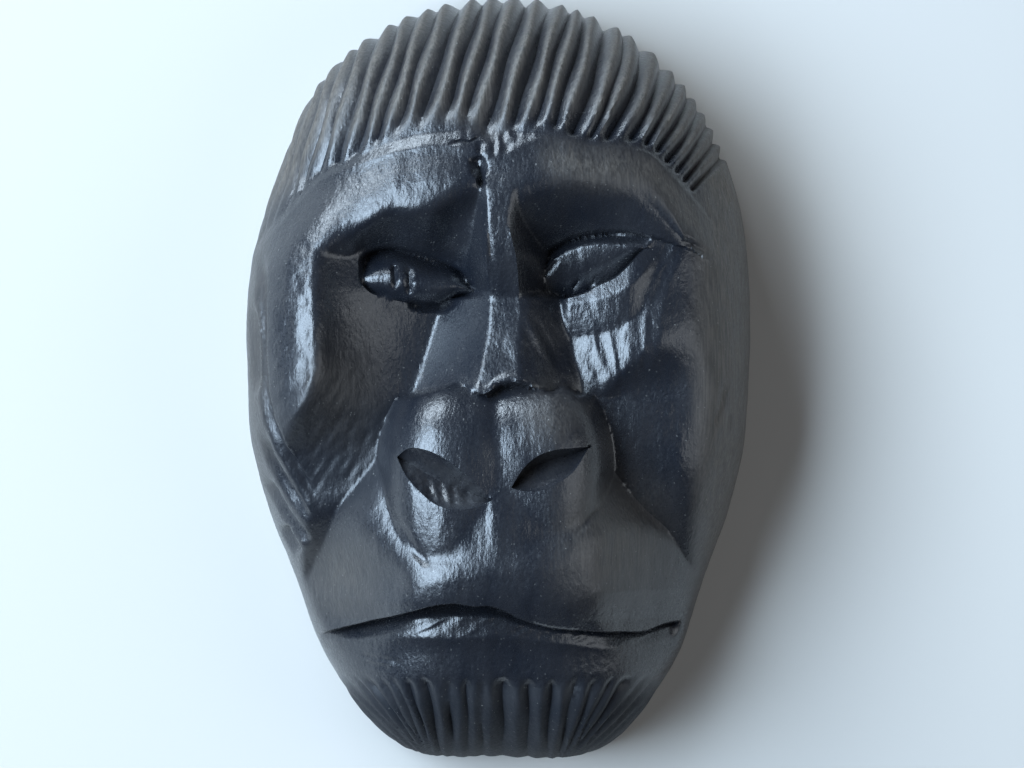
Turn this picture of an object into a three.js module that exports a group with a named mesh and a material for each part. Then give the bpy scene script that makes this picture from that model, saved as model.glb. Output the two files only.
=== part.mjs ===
// Small carved gorilla mask, in millimetres. It lies on its back: Z rises out of the face,
// +Y points to the hair and +X to the right of someone who looks at the face.
// The front is one height field over the outline. Each carved feature lowers or lifts it,
// and the facets are then put where the carving bends most.
import * as THREE from "three";

// Block
const EDGE_Z = 6;              // the outline is widest at this height above the table
const EDGE_INSET = 1.1;        // the back is this much smaller than the outline
const CROWN = [                // height of the rounded block over y
  [-56, 41], [-48, 42], [-41, 43.5], [-34.5, 46.5], [-27, 45.5], [-18, 44], [-9.5, 43],
  [-0.5, 41.5], [11.5, 40], [23, 39.6], [33.5, 39.6], [41, 40], [56, 40],
];
const SQUARENESS = [           // exponent of the block's rounded section over y
  [-56, 2.5], [-46.5, 2.4], [-39, 2.1], [-27, 2.05], [-15.5, 2.2], [-3.5, 2.4], [11.5, 2.4],
  [26, 2.5], [38, 2.8], [56, 3],
];
const LEFT_SHOULDER = 1.6;     // added to it at the left rim beside the eye
const RIM_RADII = [            // outline, one radius every 15 degrees from +X
  38.0, 39.5, 43.2, 48.2, 53.3, 56.7, 57.8, 56.5, 53.0, 46.6, 42.5, 39.4,
  38.0, 38.9, 40.4, 43.6, 50.9, 58.1, 57.9, 58.7, 51.8, 43.8, 40.4, 38.6,
];

// Hollow in the back
const HOLLOW_HALF = [25, 40];
const HOLLOW_DEPTH = 12;

// Hair
const HAIRLINE = [             // y over x
  [-37.4, 16.4], [-35, 20.2], [-32.6, 22.7], [-29.8, 25.9], [-26.2, 29.4], [-22.8, 30.7],
  [-19.4, 32], [-16.1, 33.1], [-12.6, 33.9], [-7.8, 34.2], [-4.6, 33.4], [-1.6, 32.2],
  [1.7, 33.3], [6.2, 35], [13.6, 33.9], [23.3, 32.2], [26.8, 28.7], [29.8, 25.4],
  [32.7, 21.4], [37.5, 15.1],
];
const HAIR_BEVEL = [           // width of the sloped cut along the hairline, over x
  [-29.3, 0.5], [-23.4, 0.9], [-14.6, 1.6], [-7.2, 2.2], [-2, 3.9], [2.4, 2.4], [6.8, 0.8],
  [23.8, 0.6], [29.7, 0.5],
];
const BEVEL_SLOPE = 0.3;
const BROW_ROLL = 0.8;         // how far the brow band bends down to the hairline
const HAIR_ROW_Y = 41;         // the crests below are spaced along this line
const HAIR_CRESTS = [
  -36.2, -35, -33.8, -32.8, -31.7, -30.7, -29.7, -28.5, -26.9, -25.2, -23.2, -20.4, -17.8,
  -15.2, -12.5, -8.8, -5.6, -2.5, 1.4, 5.1, 7.9, 11, 15.1, 17.5, 21.2, 24.3, 26.8, 29.3,
  31.9, 34.4, 36.9, 39.4,
];
const HAIR_LEAN = 0.28;        // sideways run for each millimetre up
const HAIR_RIGHT_LEAN = 0.17;  // what the right side leans more, and how it bends
const HAIR_RIGHT_BEND = 0.02;
const HAIR_WAVE = 0.14;
const HAIR_CUT = 0.4;          // depth of a flute for each millimetre of its width
const HAIR_ROUND = 1.35;       // from 1, a plain V with sharp crests, to 2, round crests

// Beard
const BEARD_TOP_Y = -45.2;
const BEARD_MEET = 24;         // the outer flutes would meet this far below their tops
const BEARD_CRESTS = [
  -29, -26.8, -24.6, -22.3, -20.7, -18.5, -16.7, -14.8, -12.7, -9.3, -6, -3.7, -1.4, 2.7,
  6.4, 9.8, 13.2, 15.8, 17.8, 20.8, 23.2, 25.7, 28,
];
const BEARD_CUT = 0.26;
const BEARD_ROUND = 1.4;
const BEARD_WAVE = 0.12;

// Middle ridge, from the brow down the nose bridge: its right edge over y
const RIDGE_X = [
  [-15.2, 0.2], [-7.8, 0.9], [-1.2, 2.9], [3.9, 3], [11.3, 3], [17.2, 2.6], [23.1, 1.4],
  [29.7, 2.1], [32.7, 2],
];
const RIDGE_WIDTH = [
  [-1.2, 6], [4.7, 4.8], [11.4, 4.2], [17.3, 4.4], [23.2, 3], [29.9, 3.9], [32.9, 3.9],
];
const RIDGE_Z = [
  [-15.3, 38.6], [-7.9, 38.4], [-1.1, 38], [4.7, 36.3], [9.9, 35], [11.8, 34.6],
  [12.9, 35], [17.3, 36.7], [23.2, 38.2], [29.9, 39.2], [32.9, 40.2],
];
const BRIDGE_TOP_Y = 12.2;     // the nose bridge starts here, below the brow

// Creases beside the ridge, the nose and the muzzle: x over y
const LEFT_CREASE = [
  [-33.2, -30.2], [-29.5, -28.7], [-24.4, -26.3], [-19.8, -24.2], [-14.8, -20.3],
  [-10.6, -17.1], [-6.4, -14.7], [-0.5, -12.6], [4.7, -9.3], [8.8, -7.2], [11.1, -5.2],
  [12.9, -4.3], [16.6, -6.2], [20.4, -6.7], [23.9, -5.3], [26.9, -3.5], [29.3, -2.6],
  [32.3, -2.2],
];
const RIGHT_CREASE = [
  [-31.7, 30.8], [-27.2, 28.2], [-22.6, 25], [-19.8, 21.9], [-15.8, 18.5], [-12.4, 16],
  [-8.1, 13.9], [-4, 11.9], [1.3, 9.6], [7, 7.9], [10.7, 6.6], [12.6, 5], [15.2, 3.4],
  [18.9, 2.6], [24.1, 2], [30.8, 2],
];
const LEFT_CREASE_Z = [
  [-36.1, 14], [-29.4, 18], [-24.3, 23.4], [-19.7, 27.3], [-14.7, 29.2], [-8.2, 30.2],
  [-1.2, 29.2], [4, 28], [7.7, 27.6], [11.4, 27.8], [13.6, 28.2], [26.2, 28.5],
];
const RIGHT_CREASE_Z = [
  [-36.1, 14], [-29.4, 18.5], [-24.3, 23], [-19.7, 26.5], [-14.7, 28.7], [-8.2, 30],
  [-1.2, 30.2], [4, 30.5], [7.7, 30], [11.4, 28.8], [13.6, 28.2], [26.2, 28.5],
];

// Cheeks: the left rim that the floor rises to, x over y, and on the right the crest of the
// cheek bone, its height, the line under it, and the lower edge of the scoop beside the eye
const LEFT_RIM = [
  [-26, -30.5], [-20, -29], [-14.7, -30.8], [-10.5, -32], [-7, -30.6], [-3.8, -28.4],
  [-0.5, -27], [6, -26.8], [14, -27.2], [20, -26.5],
];
const LEFT_BOWL = 2.5;         // from 1, a straight slope up to the rim, to 5, a flat floor
const LOWER_BOWL = 1.3;        // the same low down beside the nose
const LEFT_VALLEY = 1.2;       // depth of the valley between the left roof and the ridge
const CHEEK_BONE = [
  [-1.4, 19.7], [1.7, 20.6], [4.3, 21.6], [8.1, 21.8], [12.8, 22.6], [19.3, 26],
];
const CHEEK_BONE_Z = [[-1.4, 32], [4.3, 32.7], [8.1, 32.4], [12.8, 31.4], [19.3, 30.3]];
const BONE_SLOPE = 0.26;       // down from the crest towards the nose
const CHEEK_LINE = [[9.1, -4.9], [11.3, -3.7], [15.8, -2.2], [20.9, 0.3], [28.3, 3.7]];
const SCOOP = [[7.5, 5.4], [10, 5.5], [12, 5.8], [17.9, 7.4], [21.8, 10.4], [24, 12.6]];
const SCOOP_WIDTH = 5.2;       // from its lower edge up to the lid
const SCOOP_RISE = 2;

// Lower edge of the brows, y over x
const LEFT_BROW = [
  [-32, 13.2], [-28.8, 16.6], [-26.8, 18.5], [-22.6, 21.9], [-19.8, 22.8], [-16.1, 24.4],
  [-9.6, 25.1], [-6.8, 26.7], [-4, 28.4], [-2.4, 29.5], [2, 31],
];
const RIGHT_BROW = [
  [-3, 27], [2.6, 27], [7.7, 28.4], [15.7, 28.9], [21, 27], [23.6, 24.4], [26.1, 21.6],
  [28, 19.4], [31, 15.5],
];
const MUZZLE_Z = [
  [-42, 48], [-33.1, 45], [-27.2, 41.5], [-21.2, 39.4], [-15.3, 38], [-9.4, 36.8], [-2.3, 35.5],
];
const MUZZLE_X = 4;            // the muzzle is highest at this x

// Eyes, left then right: lid crease, top and lower edge of the ball, all y over x
const EYES = [
  {
    lid: [
      [-29.5, 11.4], [-25.1, 13.8], [-21.8, 16.2], [-20.3, 18], [-18.2, 19.1], [-16.2, 19.4],
      [-13.8, 19], [-9, 17.5], [-6.2, 16.2], [-3.7, 13.8], [-1.7, 12], [0.2, 11.4],
    ],
    top: [
      [-20.9, 14.4], [-19.4, 16.2], [-17.8, 17.1], [-15.9, 17.6], [-12.8, 17.1], [-9.8, 16.1],
      [-6.5, 15.1], [-4.4, 13.5], [-2.8, 12.3],
    ],
    low: [
      [-20.9, 14.4], [-19.4, 12.7], [-17, 11.8], [-14.2, 11.1], [-12, 10.8], [-9.5, 10.8],
      [-7.7, 11.3], [-6.3, 12], [-2.8, 12.3],
    ],
    ends: [30, 29],
    bulge: 2.4,
    tilt: 0,
    crease: 3.6,
  },
  {
    lid: [
      [-2.8, 10.7], [0.2, 11.6], [1.8, 13.6], [4.4, 17.1], [7.2, 19.1], [10.6, 20.9],
      [14.3, 21.7], [18, 21.8], [21.7, 21.1], [24.6, 20.2], [26.9, 19.4], [28.7, 18.8],
      [31.4, 17.1],
    ],
    top: [
      [1.7, 11.9], [4.4, 11.7], [5.1, 13.2], [6.1, 14.8], [7.5, 16.6], [9.5, 18.4],
      [11.9, 19.4], [15.8, 19.9], [19.2, 19.6], [21, 19.3], [22.8, 19.3],
    ],
    low: [
      [1.7, 11.9], [4.4, 11.2], [7.2, 10.9], [10.1, 11.6], [12.3, 12.2], [14.8, 13.5],
      [17.7, 15], [19.5, 16.7], [21, 18.3], [22.8, 19.3],
    ],
    ends: [27.8, 31],
    bulge: 0.7,
    tilt: 2.8,
    crease: 3.4,
  },
];

// Nose lobes: middle, half sizes outward, inward, up and down, top height
const LOBES = [
  { x: -6.8, y: -12.6, outward: 10, inward: 15, up: 12.4, down: 24, z: 41.3 },
  { x: 7.2, y: -12, outward: 8.6, inward: 20, up: 11.8, down: 22, z: 41 },
];
const LOBE_HEIGHT = 9;
const LOBE_TURN = 0.88;        // share of the lobe at which its side becomes straight

// Nostrils: edges y over x, depth, and how far up from the lower edge the bottom lies
const NOSTRILS = [
  {
    top: [
      [-15, -11.8], [-13.7, -10.7], [-10.8, -10.7], [-8.6, -11.6], [-5.6, -13.7],
      [-2.7, -16.3], [-1.1, -18.2],
    ],
    low: [
      [-15, -11.8], [-13.9, -14.1], [-12.2, -16.2], [-9.7, -18.5], [-6.4, -19.4],
      [-3.3, -19.2], [-1.1, -18.2],
    ],
    depth: 3.4,
    bottom: 0.5,
  },
  {
    top: [[1.8, -16.3], [3.4, -13.7], [5.3, -11.9], [7.5, -10.9], [10.5, -10.5], [13.3, -10.3]],
    low: [[1.8, -16.3], [3.1, -16.7], [6.8, -16.5], [9, -15.4], [11.2, -13.7], [13.3, -10.3]],
    depth: 4.2,
    bottom: 0.74,
  },
];

// Ledge where the bridge ends over the nose lobes, y over x
const LEDGE = [
  [-13.8, -3.4], [-9, -2.1], [-6.4, -1.2], [-3.9, -1.9], [-2.4, -2.5], [0.2, -1.1],
  [3.4, -0.9], [5.2, -1.6], [7.9, -2.7], [9.8, -2.1], [11.5, -3],
];

// Mouth: edge of the upper lip and crest of the lower lip, y over x
const UPPER_LIP = [
  [-29.2, -38.8], [-25.6, -38], [-21.9, -37], [-17.5, -35.8], [-13.8, -34.8], [-10.1, -33.7],
  [-6.4, -33.3], [-3.5, -33.7], [-1.6, -33.6], [0.5, -34.2], [3.2, -35.5], [6.8, -36.7],
  [12, -37.3], [17.9, -37.7], [22.3, -37.7], [24.4, -37], [28.2, -36.4],
];
const LOWER_LIP = [
  [-29.3, -38.9], [-26.4, -39.3], [-23.4, -39.6], [-17.5, -39.2], [-11.6, -38.7], [-7.2, -39],
  [-4.2, -38.7], [3.2, -39], [9.1, -39.6], [17.9, -40.4], [24.6, -39.6], [27.5, -38.7],
  [29.8, -37.7],
];
const LIP_OVERHANG = 4;
const MOUTH_SLOPE = 0.68;      // of the mouth's floor, from the lower lip in under the upper
const MOUTH_HALF = 28.6;

// Whisker gouges along the left rim and on the lower cheek
const WHISKERS = [
  [
    [-35.3, 19.2], [-35.3, 15], [-35.3, 3.6], [-34.9, -2.1], [-34.1, -6.3], [-32.3, -10.4],
    [-29.6, -14.6], [-26.2, -20],
  ],
  [[-36.8, 11.5], [-36.5, 4], [-36.3, -3.3]],
  [[-35.6, -7.5], [-34.1, -12.1], [-32.4, -15.1], [-30.3, -18.5], [-28, -21.5]],
  [[-35.4, -14.7], [-33.8, -17.4], [-32, -20.5], [-29.6, -23.5], [-28.2, -25]],
  [[-32.7, -22], [-31.2, -24.8], [-30, -26.8]],
];
const WHISKER_WIDTH = 1;
const WHISKER_DEPTH = 1.2;

// Facets
const FRONT_FACETS = 8700;
const RING_POINTS = 156;
const BACK_POINTS = 48;
const SAMPLE_STEP = 0.6;
const EDGE_STEP = 1.5;         // between points along the carved edges
const CLOSEST = 0.3;           // between any two points
const CLEAR = 1;               // kept free of other points around an edge
const REACH = 60;              // further than any point of the outline
const HOLLOW_TILTS = [0, 25, 50, 72]; // rings of the hollow, in degrees up its wall

// Curves and blends

const clamp = (value, low, high) => Math.min(Math.max(value, low), high);

function ease(value) {
  const t = clamp(value, 0, 1);
  return t * t * (3 - 2 * t);
}

function bump(value) {
  const t = clamp(Math.abs(value), 0, 1);
  return (1 - t * t) ** 2;
}

function softMin(a, b, reach) {
  const h = clamp(0.5 + (0.5 * (b - a)) / reach, 0, 1);
  return b + (a - b) * h - reach * h * (1 - h);
}

const softMax = (a, b, reach) => -softMin(-a, -b, reach);

// Smooth curve through [position, value] points, flat past both ends
function along(points, position) {
  const last = points.length - 1;
  const at = clamp(position, points[0][0], points[last][0]);
  let i = 0;
  while (i < last - 1 && at >= points[i + 1][0]) i += 1;
  const rise = (j) => (points[j + 1][1] - points[j][1]) / (points[j + 1][0] - points[j][0]);
  const run = (j) => points[j + 1][0] - points[j][0];
  const slope = (j) => {
    if (j === 0) return rise(0);
    if (j === last) return rise(last - 1);
    return (rise(j - 1) * run(j) + rise(j) * run(j - 1)) / (run(j - 1) + run(j));
  };
  const h = run(i);
  const f = (at - points[i][0]) / h;
  return (
    (1 + 2 * f) * (1 - f) ** 2 * points[i][1] + f * (1 - f) ** 2 * h * slope(i)
    + f * f * (3 - 2 * f) * points[i + 1][1] + f * f * (f - 1) * h * slope(i + 1)
  );
}

// Distance from a polyline, and the share of its length at the nearest point
function nearPath(path, x, y) {
  let best = { distance: Infinity, share: 0 };
  for (let i = 0; i < path.length - 1; i += 1) {
    const [ax, ay] = path[i];
    const dx = path[i + 1][0] - ax;
    const dy = path[i + 1][1] - ay;
    const t = clamp(((x - ax) * dx + (y - ay) * dy) / (dx * dx + dy * dy), 0, 1);
    const distance = Math.hypot(x - ax - t * dx, y - ay - t * dy);
    if (distance < best.distance) best = { distance, share: (i + t) / (path.length - 1) };
  }
  return best;
}

// 0 on the crests, 1 in the groove midway between two, times the flute's width
function fluteDepth(crests, position, power) {
  let i = 0;
  while (i < crests.length - 2 && position >= crests[i + 1]) i += 1;
  const width = crests[i + 1] - crests[i];
  const f = clamp((position - crests[i]) / width, 0, 1);
  return width * (1 - Math.abs(2 * f - 1)) ** power;
}

// The rounded block

function rimRadius(angle) {
  const count = RIM_RADII.length;
  const turn = ((angle / (2 * Math.PI)) % 1 + 1) % 1;
  const k = turn * count;
  const i = Math.floor(k);
  const f = k - i;
  const [a, b, c, d] = [-1, 0, 1, 2].map((j) => RIM_RADII[(i + j + count) % count]);
  return b + 0.5 * f * (c - a + f * (2 * a - 5 * b + 4 * c - d + f * (3 * (b - c) + d - a)));
}

function block(x, y) {
  const radius = Math.hypot(x, y);
  const rim = rimRadius(Math.atan2(y, x));
  const share = clamp(radius / rim, 0, 1);
  const shoulder = LEFT_SHOULDER * bump((y - 7) / 26) * ease((-14 - x) / 16);
  const power = along(SQUARENESS, y) + shoulder;
  const rise = along(CROWN, y) - EDGE_Z;
  const level = (1 - share ** power) ** (1 / power);
  const outward = share ** (power - 1) / rim;
  const upward = level ** (power - 1) / rise;
  const length = Math.hypot(outward, upward);
  const spoke = radius > 0 ? outward / length / radius : 0;
  return { z: EDGE_Z + rise * level, normal: [x * spoke, y * spoke, upward / length] };
}

// Carved features

function hairStep(x, y) {
  const bevel = Math.max(along(HAIR_BEVEL, x), 0.4);
  const above = y - along(HAIRLINE, x);
  const step = 0.15 + BEVEL_SLOPE * bevel;
  const roll = BROW_ROLL * ease(above / 6 + 1);
  return roll + step * (clamp(above / bevel, 0, 1) - 0.6 * ease((above - bevel) / 9));
}

// Floor of the left hollow, rising away from the crease to the rim
function leftCheek(x, y, out) {
  const rim = along(LEFT_RIM, y);
  const low = along(LEFT_CREASE_Z, y);
  const share = out / Math.max(along(LEFT_CREASE, y) - rim, 2);
  const swell = 0.8 * bump((y - 6.4) / 11.5) * bump((x + 19) / 14);
  const bowl = share ** (LEFT_BOWL + (LOWER_BOWL - LEFT_BOWL) * ease((6 - y) / 12));
  return low + (block(rim, y).z - low) * bowl + swell;
}

// Floor of the right hollow: a flat lower part, and above it the cheek bone
function rightCheek(x, y, out) {
  const low = along(RIGHT_CREASE_Z, y) - 0.03 * out;
  const across = x - along(CHEEK_BONE, y);
  const slope = across < 0 ? BONE_SLOPE * across : -0.15 * across;
  const crest = along(CHEEK_BONE_Z, y) + slope - 0.35 * bump(across / 2.5);
  const scoop = clamp((y - along(SCOOP, x)) / SCOOP_WIDTH, 0, 1);
  const bone = crest + SCOOP_RISE * scoop * ease((x - 7.5) / 3) * ease((25 - x) / 6);
  const above = y - along(CHEEK_LINE, x);
  return low + (bone - low) * ease(above / (4 + 6 * ease((x - 17) / 8)) + 0.5);
}

// How far along the eye x lies, and the height between its two ends there
function eyeLevel(eye, x) {
  const first = eye.top[0][0];
  const last = eye.top[eye.top.length - 1][0];
  const u = clamp((x - first) / (last - first), 0, 1);
  return [u, eye.ends[0] + (eye.ends[1] - eye.ends[0]) * u];
}

function eyeFloor(eye, floor, x, y) {
  const [u, level] = eyeLevel(eye, x);
  const [lid, top, low] = [eye.lid, eye.top, eye.low].map((line) => along(line, x));
  const t = clamp((y - low) / Math.max(top - low, 0.2), 0, 1);
  const round = Math.sqrt(1 - (2 * u - 1) ** 2);
  const ball = level + eye.bulge * (1 - (2 * t - 1) ** 2) * round - eye.tilt * (1 - t);
  const down = clamp((y - top) / Math.max(lid - top, 0.3), 0, 1);
  const crease = level - eye.crease * down * Math.sqrt(round);
  const target = crease + (ball - crease) * ease((top - y) / 0.5 + 0.6);
  const inside = ease(Math.min(u, 1 - u) / 0.06);
  const cut = ease((y - low) / 0.35) * ease((lid - y) / 0.45 + 0.2) * inside;
  return floor + (target - floor) * cut;
}

// Roof of the socket, from the lid crease straight up to the lower edge of the brow
function browRoof(eye, brow, x, y, top) {
  const lid = along(eye.lid, x);
  const [, level] = eyeLevel(eye, x);
  const up = (y - lid) / Math.max(along(brow, x) - lid, 1);
  const rise = top - level;
  const past = Math.max(rise, 4) * Math.max(up - 1, 0) - 30 * Math.max(-up, 0);
  return level + rise * clamp(up, 0, 1) + past;
}

function ridge(x, y) {
  const back = along(RIDGE_X, y) - x;
  const width = along(RIDGE_WIDTH, y);
  const above = ease((y - BRIDGE_TOP_Y) / 1.6 + 0.5);
  const fall = 0.06 * clamp(back, 0, width) + (0.92 + 1.2 * above) * Math.max(back - width, 0);
  const right = Math.max(-back, 0);
  return along(RIDGE_Z, y) - fall - right * (0.35 + 0.5 * ease(right / 6) + 1.2 * above);
}

function ledgeLift(x, y) {
  const above = y - along(LEDGE, x);
  const ends = ease((x - LEDGE[0][0]) / 2) * ease((LEDGE[LEDGE.length - 1][0] - x) / 2);
  return ends * (above > 0 ? 0.4 * bump(above / 1.8) : -4 * ease(-above / 0.8));
}

function lobe({ x: cx, y: cy, outward, inward, up, down, z }, x, y) {
  const isOuter = x < cx === cx < 0;
  const across = (x - cx) / (isOuter ? outward : inward);
  const length = (y - cy) / (y > cy ? up : down);
  const rho = across * across + length * length;
  const turned = Math.sqrt(1 - LOBE_TURN);
  const straight = Math.max(rho - LOBE_TURN, 0) / (2 * turned);
  return z - LOBE_HEIGHT * (1 - Math.sqrt(1 - Math.min(rho, LOBE_TURN)) + straight);
}

function nose(x, y) {
  const right = lobe(LOBES[1], x, y) - Math.max(-1 - x, 0);
  return softMax(lobe(LOBES[0], x, y), right, 0.4 + 5 * ease((-15 - y) / 8));
}

// Cheek, eye and socket roof on the left of the ridge
function leftHollow(x, y, top, outside) {
  const floor = eyeFloor(EYES[0], leftCheek(x, y, Math.max(outside, 0)), x, y);
  const valley = LEFT_VALLEY * bump(outside / 5) * ease((29 - y) / 6);
  return softMax(floor, browRoof(EYES[0], LEFT_BROW, x, y, top) - valley, 0.5);
}

// And on its right
function rightHollow(x, y, top, outside) {
  const floor = eyeFloor(EYES[1], rightCheek(x, y, Math.max(outside, 0)), x, y);
  return softMax(floor, browRoof(EYES[1], RIGHT_BROW, x, y, top), 0.5);
}

function muzzle(x, y, creaseZ, outside) {
  const cap = along(MUZZLE_Z, y) - (x - MUZZLE_X) ** 2 / 86;
  const side = along(creaseZ, y) + 1.3 * Math.max(-outside, 0);
  return softMin(side, cap, 2.5) - 40 * ease((y + 3.5) / 1.5);
}

// Everything lower than the block between brow, rims and mouth
function hollows(x, y, top) {
  const left = x < along(RIDGE_X, y);
  const outside = left ? along(LEFT_CREASE, y) - x : x - along(RIGHT_CREASE, y);
  let z = (left ? leftHollow : rightHollow)(x, y, top, outside);
  z = softMax(z, ridge(x, y) + ledgeLift(x, y), 0.5);
  z = softMax(z, muzzle(x, y, left ? LEFT_CREASE_Z : RIGHT_CREASE_Z, outside), 0.8);
  const blend = 0.35 + 2.5 * bump(x / 9) * ease((-16 - y) / 6);
  return softMax(z, nose(x, y) - 6 * ease((y - along(LEDGE, x)) / 1.2), blend);
}

function nostrils(x, y) {
  let depth = 0;
  for (const nostril of NOSTRILS) {
    const first = nostril.top[0][0];
    const last = nostril.top[nostril.top.length - 1][0];
    const u = (2 * (x - first)) / (last - first) - 1;
    if (Math.abs(u) >= 1) continue;
    const top = along(nostril.top, x);
    const low = along(nostril.low, x);
    const t = (y - low) / Math.max(top - low, 0.2);
    const wall = clamp(Math.min((1 - t) / (1 - nostril.bottom), t / nostril.bottom), 0, 1);
    depth += nostril.depth * wall ** 0.8 * (1 - u * u) ** 0.4;
  }
  return depth;
}

function mouth(x, y) {
  const upper = along(UPPER_LIP, x);
  const lower = along(LOWER_LIP, x);
  const openBy = Math.max(upper - lower, 0.3);
  const under = ease((upper - y) / 0.5) * ease((MOUTH_HALF - Math.abs(x)) / 3);
  const back = LIP_OVERHANG * Math.sqrt(Math.max(1 - (x / 31) ** 4, 0));
  const t = clamp((y - lower) / openBy, 0, 1);
  const groove = openBy * (MOUTH_SLOPE * t ** 1.15 + 0.25 * bump((1 - t) / 0.4));
  return under * (back * (1 - 0.5 * ease((upper - y) / 16)) + groove);
}

function height(x, y, top) {
  const rounding = 1.6 + 2.4 * ease((x - 14) / 12);
  const z = softMin(top - hairStep(x, y), hollows(x, y, top), rounding);
  return z - nostrils(x, y) - mouth(x, y);
}

// Flutes of hair and beard and the whisker gouges are cut square to the block

// Sideways place of a hair flute at height y, from where it crosses the row
function hairFluteX(position, y) {
  const up = y - HAIR_ROW_Y;
  const right = ease((position - 6) / 14);
  const bend = HAIR_RIGHT_BEND * right * up * up;
  const wave = HAIR_WAVE * Math.sin(0.5 * y + 0.9 * position);
  return position + (HAIR_LEAN + HAIR_RIGHT_LEAN * right) * up - bend + wave;
}

function hairFlutes(x, y) {
  const above = y - along(HAIRLINE, x);
  if (above <= 0) return 0;
  let position = x - HAIR_LEAN * (y - HAIR_ROW_Y);
  for (let round = 0; round < 12; round += 1) position += x - hairFluteX(position, y);
  const smooth = bump((x + 6) / 18);
  const fade = ease((above - 0.6 - 1.8 * smooth) / (1.8 + 4.5 * smooth));
  return HAIR_CUT * fade * fluteDepth(HAIR_CRESTS, position, HAIR_ROUND);
}

// Sideways place of a beard flute at height y: the outer ones lean in, the middle ones don't
function beardFluteX(position, y) {
  const down = clamp(BEARD_TOP_Y - y, -3, 14);
  const wave = BEARD_WAVE * Math.sin(0.7 * y + 1.3 * position);
  return position * (1 - (down / BEARD_MEET) * ease(Math.abs(position) / 26)) + wave;
}

function beardFlutes(x, y) {
  const below = ease((BEARD_TOP_Y - y + 1) / 2.5);
  if (below === 0) return 0;
  const share = Math.hypot(x, y) / rimRadius(Math.atan2(y, x));
  let position = x;
  for (let round = 0; round < 16; round += 1) position += x - beardFluteX(position, y);
  const start = below * (0.25 + 0.75 * ease((1 - share) / 0.1));
  return BEARD_CUT * start * fluteDepth(BEARD_CRESTS, position, BEARD_ROUND);
}

function whiskers(x, y) {
  let depth = 0;
  for (const path of WHISKERS) {
    const near = nearPath(path, x, y);
    const ends = ease(Math.min(near.share, 1 - near.share) / 0.25);
    depth = Math.max(depth, WHISKER_DEPTH * ends * bump(near.distance / WHISKER_WIDTH));
  }
  return depth;
}

function surface(x, y) {
  const { z: top, normal } = block(x, y);
  const cut = hairFlutes(x, y) + beardFlutes(x, y) + whiskers(x, y);
  return [x - normal[0] * cut, y - normal[1] * cut, height(x, y, top) - normal[2] * cut];
}

// Facets of the front: triangles over a flat chart, split where the surface is furthest away.
// The chart is the plan with its steep sides spread out, so it is even along the surface.

const SPREAD = 0.5;
const SPREAD_LENGTH = Math.hypot(1, SPREAD);
const SPREAD_ANGLE = Math.atan(SPREAD);

function fromChart(a, b) {
  const angle = Math.atan2(b, a);
  const reach = Math.min(Math.hypot(a, b) / rimRadius(angle), 1 + SPREAD);
  const share = Math.sin(Math.asin((reach - SPREAD) / SPREAD_LENGTH) + SPREAD_ANGLE);
  const radius = share * rimRadius(angle);
  return surface(radius * Math.cos(angle), radius * Math.sin(angle));
}

function chartPoint(a, b) {
  return { a, b, at: fromChart(a, b) };
}

const rimPoint = (angle) => {
  const radius = rimRadius(angle) * (1 + SPREAD);
  return chartPoint(radius * Math.cos(angle), radius * Math.sin(angle));
};

// Chart point over x and y, or null where that is next to the outline or past it
function toChart(x, y) {
  const radius = Math.hypot(x, y);
  const share = Math.min(radius / rimRadius(Math.atan2(y, x)), 1);
  const reach = share + SPREAD * (1 - Math.sqrt(1 - share * share));
  if (reach > 0.98 * (1 + SPREAD)) return null;
  const scale = radius > 0 ? reach / share : 1;
  return chartPoint(x * scale, y * scale);
}

// Chart points at even steps along one line, with those of its other places beside them
function trace(places, from, to, step) {
  const points = [];
  let last = null;
  for (let t = from; t <= to; t += 0.1) {
    const point = toChart(...places[0](t));
    if (point && (!last || Math.hypot(point.a - last.a, point.b - last.b) >= step)) {
      last = point;
      points.push(point, ...places.slice(1).map((place) => toChart(...place(t))));
    }
  }
  return points.filter((point) => point);
}

// Crests and bottoms of a row of flutes, each with the flute's width there
const fluteLines = (crests) => crests.slice(1).flatMap((crest, i) => {
  const width = crest - crests[i];
  return [{ position: crest, width }, { position: crest - width / 2, width }];
});

function fluteTraces() {
  const hair = fluteLines(HAIR_CRESTS).flatMap(({ position, width }) => (
    trace([(y) => [hairFluteX(position, y), y]], 12, REACH, Math.max(width * 0.8, 1.8))
      .filter(({ at }) => at[1] > along(HAIRLINE, at[0]) + 0.6)
  ));
  const beard = fluteLines(BEARD_CRESTS).flatMap(({ position, width }) => (
    trace([(y) => [beardFluteX(position, y), y]], -REACH, BEARD_TOP_Y + 1, Math.max(width * 0.7, 1.3))
  ));
  return [...hair, ...beard];
}

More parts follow.
